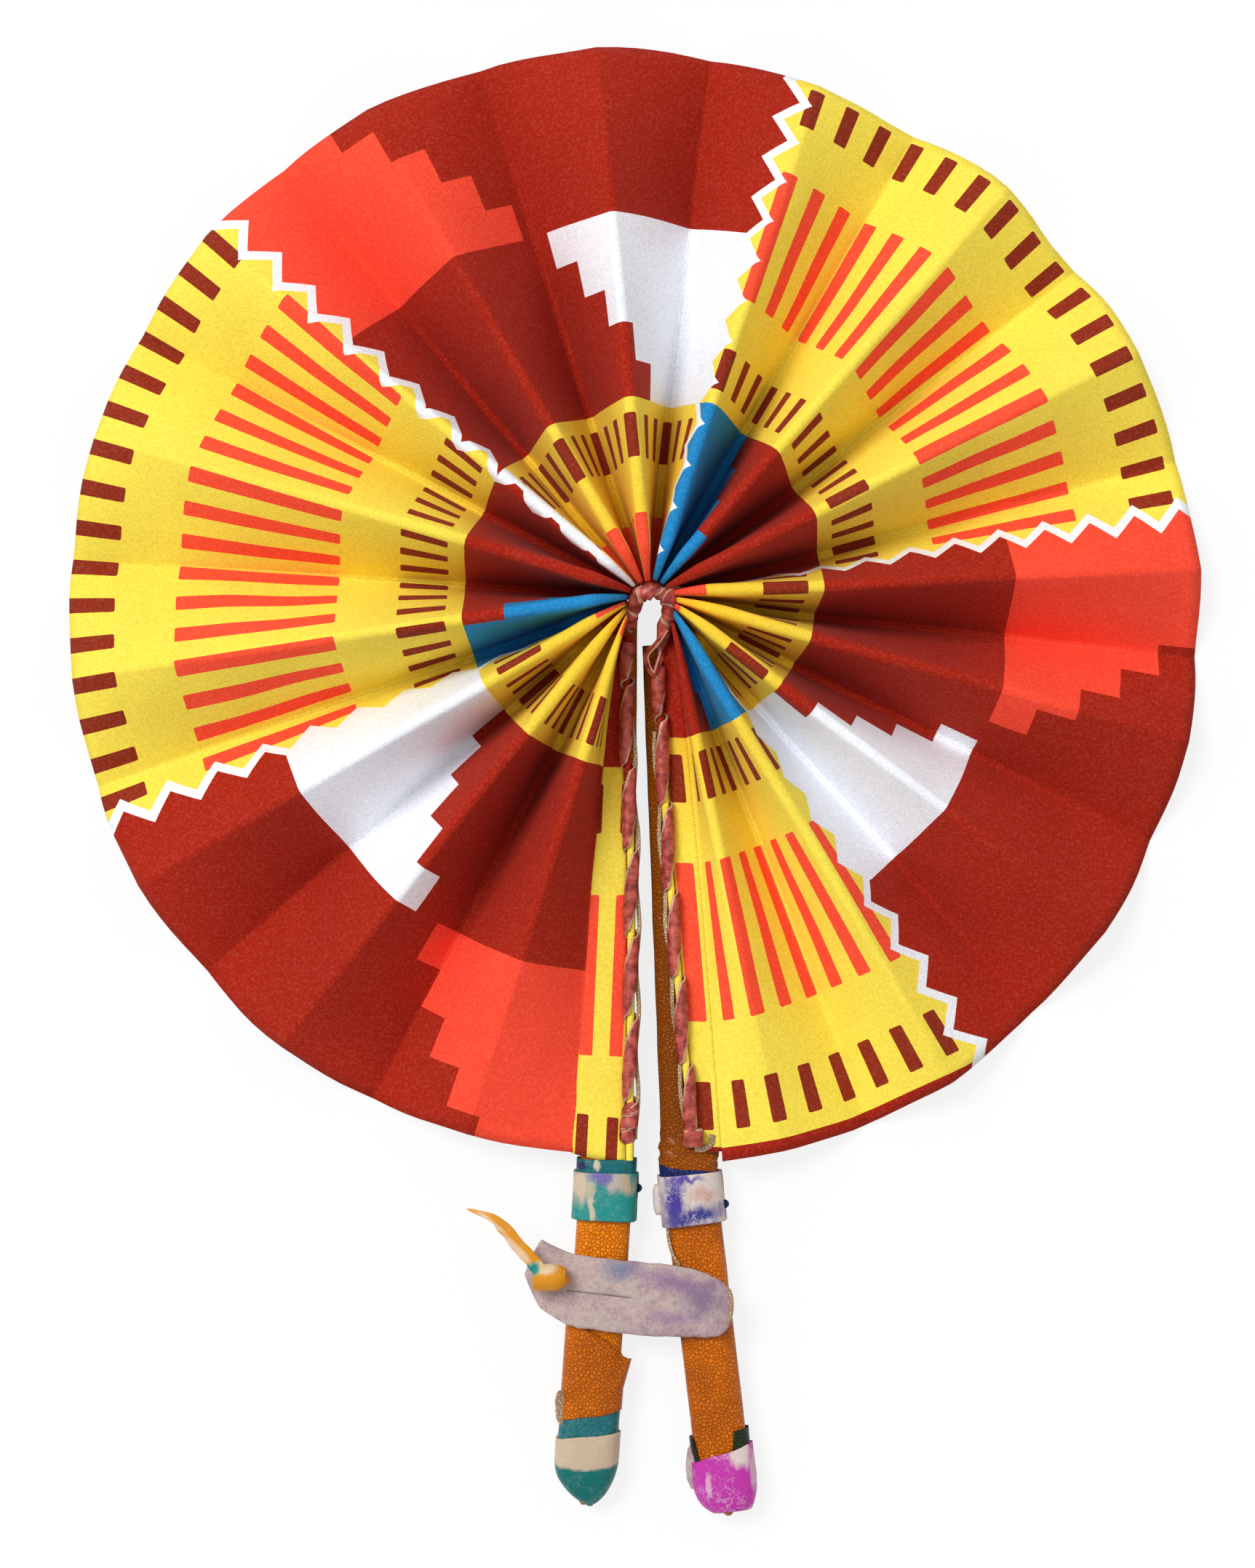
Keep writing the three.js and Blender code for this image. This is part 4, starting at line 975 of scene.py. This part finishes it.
for side_name, stick, cuff, lining_top, lining_slant, lining_look, cuff_look, lining_slot in (
    ("left", LEFT, (-155.6, -168.8), -151.8, 0.0, teal_leather, teal_marble, "teal_leather"),
    ("right", RIGHT, (-156.0, -169.9), -154.6, -0.25, navy_leather, violet_marble, "blue_leather"),
):
    finished(
        shaped(
            f"{side_name}_lining_strip", 44, 18,
            strip_round(stick, lining_top, cuff[1] + 2, BAND_OVER, 11, 0.2, slant=lining_slant),
        ),
        lining_look, f"{side_name}_stick", lining_slot, f"{side_name}_cuff_lining", thickness=0.5,
    )
    finished(
        shaped(f"{side_name}_marbled_cuff", 60, 26, strip_round(stick, cuff[0], cuff[1], CUFF_OVER, 23)),
        cuff_look, f"{side_name}_stick", "marbled_leather", f"{side_name}_cuff", thickness=0.55,
    )
    knot_y = cuff[0] - (4.5 if side_name == "left" else 8.5)
    knot_x = middle_x(stick, knot_y) + SLEEVE_WIDTH / 2 + CUFF_OVER + 0.1
    knot_line = [
        (knot_x - 0.2, knot_y + 1.2, STICK_Z), (knot_x + 0.6, knot_y, STICK_Z + 0.4),
        (knot_x - 0.2, knot_y - 1.2, STICK_Z),
    ]
    finished(
        round_strand(
            f"{side_name}_cuff_knot_end", 14, 14, knot_line,
            lambda across, along: (0.6 + 0.2 * math.sin(across * 25)) * math.sin(math.pi * along) ** 0.5,
        ),
        navy_leather, f"{side_name}_stick", "blue_leather", f"{side_name}_cuff_knot",
    )

roll_y = -163.2
roll_x = middle_x(RIGHT, roll_y) - SLEEVE_WIDTH / 2 - CUFF_OVER - 0.9
ROLL_TURNS, ROLL_LENGTH = 1.6, 8.2


def rolled_end(across, along):
    """The cuff's loose end, rolled up on itself beside the stick, with its corners rubbed round."""
    angle = 2 * math.pi * ROLL_TURNS * across
    reach = (0.6 + 0.7 * across) * (1 - 0.5 * abs(2 * along - 1) ** 4)
    return (
        roll_x + reach * math.cos(angle) + 0.5 * along,
        roll_y + ROLL_LENGTH / 2 - ROLL_LENGTH * along,
        STICK_Z + 1 + reach * math.sin(angle),
    )


finished(
    shaped("right_cuff_rolled_end", 30, 12, rolled_end),
    violet_marble, "right_stick", "marbled_leather", "right_cuff_roll", thickness=0.4,
)

# Feet: a dyed band and a pointed cap of leather close the end of each handle, and the lath's tip just shows.
CAP_OVER = 2.02


def cap(stick, top, foot, slant, point, bluntness, lean):
    """The cap closes over its last point millimetres, to a tip or bluntly, and its end leans aside."""

    def place(across, along):
        y = top + (foot - top) * along
        drop = max(0.0, stick["foot_y"] + point - y) / point
        share = max(0.04, max(0.0, 1 - drop**1.9) ** bluntness)
        grow = CAP_OVER - 0.85 + 0.25 * ripple(across * 40, y, 4, 5)
        edge = 0.5 * ripple(across * 30, 4, 0, 9) + slant * math.cos(2 * math.pi * across) * SLEEVE_WIDTH / 2
        x, y, z = round_stick(stick, y + edge * (1 - along), across, grow, share)
        return x + lean * drop * drop, y, z

    return place


green_leather = leather("dark_green_leather", "#2F3F26", "#1B2416", 0.9, 0.42)
teal_cap_look = dyed_by_hand(
    "teal_dipped_leather", "#0C6A66", [(-18, -228, 16, 9.2, 0, "#C2AC92")], 0.2, 2.4, 0.05
)
magenta_cap_look = dyed_by_hand(
    "magenta_dipped_leather", "#BC34A2",
    [(24.6, -232.4, 2.8, 4.0, 20, "#D9C6C2"), (16, -241.8, 0.9, 3.0, 0, "#CF9ABC"),
     (28.8, -237.6, 1.2, 5.0, 0, "#CF9EB8")], 0.6,
)
for side_name, stick, band, cap_span, band_look, cap_look, band_slot, cap_slot in (
    ("left", LEFT, (-222.4, -231.5, 0.32, 0.0), (-228.0, -247.8, 0.18, 13.0, 0.72, 1.8),
     teal_leather, teal_cap_look, "teal_leather", "teal_leather"),
    ("right", RIGHT, (-227.4, -235.0, 0.06, 7.5), (-232.8, -248.8, 0.22, 10.0, 0.42, 1.6),
     green_leather, magenta_cap_look, "green_leather", "magenta_leather"),
):
    finished(
        shaped(
            f"{side_name}_foot_strip", 60, 14,
            strip_round(stick, *band[:2], BAND_OVER, 37, 0.2, slant=band[2], dip=band[3]),
        ),
        band_look, f"{side_name}_stick", band_slot, f"{side_name}_foot_band", thickness=0.5,
    )
    finished(
        shaped(f"{side_name}_pointed_cap", 44, 40, cap(stick, *cap_span), closed=True),
        cap_look, f"{side_name}_stick", cap_slot, f"{side_name}_foot_cap", thickness=0.7,
    )

# Suede, a split hide with its nap brushed up: quite matt, cloudy, and stained darker, most at its right end.
lavender_suede, tree = new_material("lavender_suede")
place = add(tree, "TexCoord", out="Object")
cloudy = add(tree, "TexNoise", place, sockets={"Scale": 1000 / 9, "Detail": 9.0, "Roughness": 0.78})
nap = add(tree, "TexNoise", place, sockets={"Scale": 1000 / 0.8, "Detail": 2.0})
darker = add(tree, "MapRange", add(tree, "SeparateXYZ", place), -0.012, 0.022, 0.0, 0.1)
blotch = add(tree, "MapRange", add(tree, "Math", cloudy, darker), 0.5, 0.72, 0.0, 0.8)
stained = dabbed(
    tree, place, colour("#BEA8A2"),
    [(-7.6, -181.8, 4.4, 2.6, 0, "#80809A"), (7.4, -185.6, 9.0, 2.4, -12, "#9A7A96"),
     (13.8, -190.0, 4.2, 3.6, 0, "#86748E"), (6.0, -195.0, 4.6, 1.8, 0, "#A2869A")], 5.0, 0.7,
)
dyed = add(tree, "Mix", blotch, sockets={6: stained, 7: colour("#84647C")}, **COLOURS)
flecked = add(tree, "MapRange", nap, 0.35, 0.65, 0.86, 1.06)
face = add(tree, "Mix", 1.0, sockets={6: dyed, 7: flecked}, blend_type="MULTIPLY", **COLOURS)
rough_nap = add(tree, "Bump", sockets={"Strength": 0.5, "Distance": 0.00015, "Height": nap})
surface = add(
    tree, "BsdfPrincipled", face, sockets={"Roughness": 0.95, "Normal": rough_nap, "Sheen Weight": 0.15}
)
add(tree, "OutputMaterial", surface)

# Tongues: a short loose end of leather stands up beside each foot, undyed on the left and suede on the right.
for side_name, look, half, line in (
    ("left", pale_edge, 1.5, [(-24.2, -225, 9.6), (-24.5, -220.5, 10.2), (-24.6, -215.4, 10.6)]),
    ("right", lavender_suede, 1.4, [(12.6, -229.5, 8), (11.3, -236, 8.4), (12.0, -243, 7.6)]),
):
    finished(
        ribbon(
            f"{side_name}_foot_tongue", 8, 24, line,
            lambda along: half * min(1.0, 0.35 + 2.6 * min(along, 1 - along)), 0.5,
        ),
        look, f"{side_name}_stick", "lavender_suede", f"{side_name}_foot_flap", thickness=0.5,
    )

# Handle wrap: a second layer of brown leather round the left handle, cut off at a slant below the strap.
WRAP_TOP, WRAP_FOOT, WRAP_OVER = -193.5, -222.6, 0.57
WRAP_LEATHER = 0.45


def handle_wrap(across, along):
    """Its upper edge runs down to the right, where the corner of its free edge stands out from the stick."""
    rightward = 0.5 + 0.5 * math.cos(2 * math.pi * across)
    y = WRAP_TOP - 13 * rightward
    y += (WRAP_FOOT + 2.2 * (2 * rightward - 1) - y) * along
    loose = math.exp(-((across / 0.09) ** 2)) * max(0.0, 1 - along / 0.6)
    x, y, z = round_stick(LEFT, y, across, WRAP_OVER + 0.5 * (1 - across))
    return x + 1.7 * loose, y, z + 0.8 * loose


wrap_leather = leather("darker_orange_brown_leather", "#EA7A04", "#C66202", 1.0, 0.3)
finished(
    shaped("left_handle_wrapping", 64, 30, handle_wrap),
    wrap_leather, "left_stick", "brown_leather", "left_handle_wrap", thickness=WRAP_LEATHER,
)

# Seam lip: the right sleeve's raw edge stands up a little under the cuff, pale where it is cut.
SEAM_ROUTE = [(-170.6, -0.1, 2.4), (-174, -0.2, 2.8), (-177.5, 0.3, 3.6), (-181, 1.9, 4.6)]
seam_line = [(middle_x(RIGHT, y) - SLEEVE_WIDTH / 2 + aside, y, STICK_Z + up) for y, aside, up in SEAM_ROUTE]
finished(
    ribbon("right_seam_lip", 4, 30, seam_line, lambda along: 0.45, 0.6),
    pale_edge, "right_stick", "brown_leather", thickness=0.4,
)

# Strap: a strip of lavender suede held in a slit of the right handle. Its buttonhole slips over the toggle.
STRAP_Z = SLEEVE_TOP + 0.12 + WRAP_LEATHER + 0.3
STRAP_SUEDE = 1.6
STRAP_TOP = [
    (-29.7, -173.9), (-20.9, -177.7), (-8, -179.3), (6.7, -180.8), (14.5, -182.6), (20.4, -185.6),
    (22.5, -189.7),
]
STRAP_FOOT = [
    (-29.7, -192.8), (-23, -196.8), (-17, -198.1), (-3, -199.8), (12, -200.4), (19.4, -199.8), (22.6, -196),
]
STRAP_COLUMNS, STRAP_ROWS = 64, 21
# The buttonhole is cut along this row of its grid, which is drawn shut by such a share, for this length.
SLIT_ROW, SLIT_SHUT, SLIT_LENGTH = 11, 0.8, 17
THONG = (middle_x(LEFT, -185) - SLEEVE_WIDTH / 2 - 1.5, -185.0)


def strap_place(across, along):
    """From the pointed end, which hangs over the left handle's edge, to the end in the slit."""
    high, low = (curve_place([(x, y, 0) for x, y in edge], across)[0] for edge in (STRAP_TOP, STRAP_FOOT))
    row = along * STRAP_ROWS
    even = (row if row <= SLIT_ROW else row - SLIT_SHUT) / (STRAP_ROWS - SLIT_SHUT)
    spot = high.lerp(low, 1 - even)
    spot.x -= 4.6 * (1 - abs(2 * even - 1)) ** 0.8 * (1 - across) ** 7
    ragged = 0.25 * ripple(across * 60, round(even) * 9, 6, 2.5) * abs(2 * even - 1) ** 8
    hang = 1.8 * max(0.0, (THONG[0] - spot.x) / 10) ** 1.4
    return spot.x, spot.y + ragged, STRAP_Z + STRAP_SUEDE / 2 - hang + 0.25 * ripple(spot.x, spot.y, 2, 12)


name, strap_sheet = shaped("suede_strap", STRAP_COLUMNS, STRAP_ROWS, strap_place)
slit = [
    face for face in strap_sheet.faces
    if THONG[0] < face.calc_center_median().x / MM - HUB[0] < THONG[0] + SLIT_LENGTH
    and min(edge.calc_length() for edge in face.edges) < 0.45 * MM
]
bmesh.ops.delete(strap_sheet, geom=slit, context="FACES")
suede_strap = finished(
    (name, strap_sheet), lavender_suede, None, "lavender_suede", "strap", thickness=STRAP_SUEDE
)
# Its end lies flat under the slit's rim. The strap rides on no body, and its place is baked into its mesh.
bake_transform(suede_strap)

slit_line = [
    (20.9 + 1.6 * math.sin(a), -191.4 + 4.8 * math.cos(a), STRAP_Z + STRAP_SUEDE + 0.9)
    for a in [math.pi * i / 8 for i in range(9)]
]
finished(
    round_strand("slit_rim", 8, 48, slit_line, lambda across, along: 0.55 * drawn_in(along, 5, 0.5)),
    pale_edge, "right_stick", "brown_leather", "strap_slit_lip",
)

# Toggle: a strip of ochre leather, rolled up on a thong at the left handle, its thin end left as a tail.
TOGGLE_RADIUS = 3.7
TOGGLE_Z = STRAP_Z + STRAP_SUEDE + 0.3 + TOGGLE_RADIUS
ochre_leather = dyed_by_hand(
    "ochre_leather", "#DA8E12",
    [(-28.8, -180.4, 3.4, 1.7, 0, "#DCC49C"), (-32.2, -180.8, 2.0, 1.7, 30, "#1F8A86"),
     (-36.4, -175.6, 5.0, 1.2, -45, "#E0C09A"), (-43.2, -168.5, 4.6, 0.7, -38, "#DDBB92")], 0.1, 1.6,
)
# The thong rises from inside the handle through the buttonhole, a hair off plumb.
stem_height = STRAP_Z + STRAP_SUEDE - STICK_Z + 2
stem_line = [(THONG[0], THONG[1] - 0.001 * i, STICK_Z - 2 + stem_height * i / 3) for i in range(4)]
finished(
    round_strand("toggle_stem", 12, 12, stem_line, lambda across, along: 1.2 * drawn_in(along, 8, 0.4)),
    ochre_leather, "left_stick", "ochre_leather", "toggle_thong",
)
TOGGLE_TURNS = 2.4


def toggle_roll(across, along):
    """The strip's turns lie close on each other, and the roll thins towards its right end."""
    angle = 2 * math.pi * TOGGLE_TURNS * across + 0.6
    reach = (1.0 + (TOGGLE_RADIUS - 1.0) * across) * (1 - 0.45 * max(0.0, (along - 0.6) / 0.4) ** 2)
    return (
        THONG[0] - 9.2 + 9 * along + 0.2 * ripple(angle, along, 3, 1.5),
        THONG[1] + 1.9 + reach * math.cos(angle),
        TOGGLE_Z + reach * math.sin(angle),
    )


finished(
    shaped("rolled_toggle", 70, 16, toggle_roll),
    ochre_leather, "toggle", "ochre_leather", "toggle_roll", thickness=0.6,
)
# The thong's upper end comes out of the strap and is rolled up with the toggle.
thong_line = [
    (THONG[0], THONG[1], STRAP_Z + STRAP_SUEDE - 0.8), (THONG[0] - 0.3, THONG[1] + 0.5, TOGGLE_Z - 2.6),
    (THONG[0] - 1.8, THONG[1] + 1.6, TOGGLE_Z - 0.6), (THONG[0] - 4.5, THONG[1] + 1.9, TOGGLE_Z),
]
finished(
    round_strand("thong_end", 12, 16, thong_line, lambda across, along: 1.1 * drawn_in(along, 8, 0.4)),
    ochre_leather, "toggle", "ochre_leather",
)
tail_route = [
    (-30.2, -181.2, TOGGLE_Z + 1), (-32.6, -178.2, TOGGLE_Z + 1.2), (-35.6, -175.0, TOGGLE_Z + 0.9),
    (-39.3, -170.4, TOGGLE_Z + 0.4), (-43.4, -167.0, TOGGLE_Z), (-50.0, -164.9, TOGGLE_Z - 1.4),
]
finished(
    ribbon(
        "toggle_tail_strip", 8, 60, tail_route,
        lambda along: 2.0 * (1 - 0.2 * along) * min(1.0, 2.6 * (1.02 - along)) ** 0.8, 0.2,
    ),
    ochre_leather, "toggle", "ochre_leather", "toggle_tail", thickness=1.0,
)
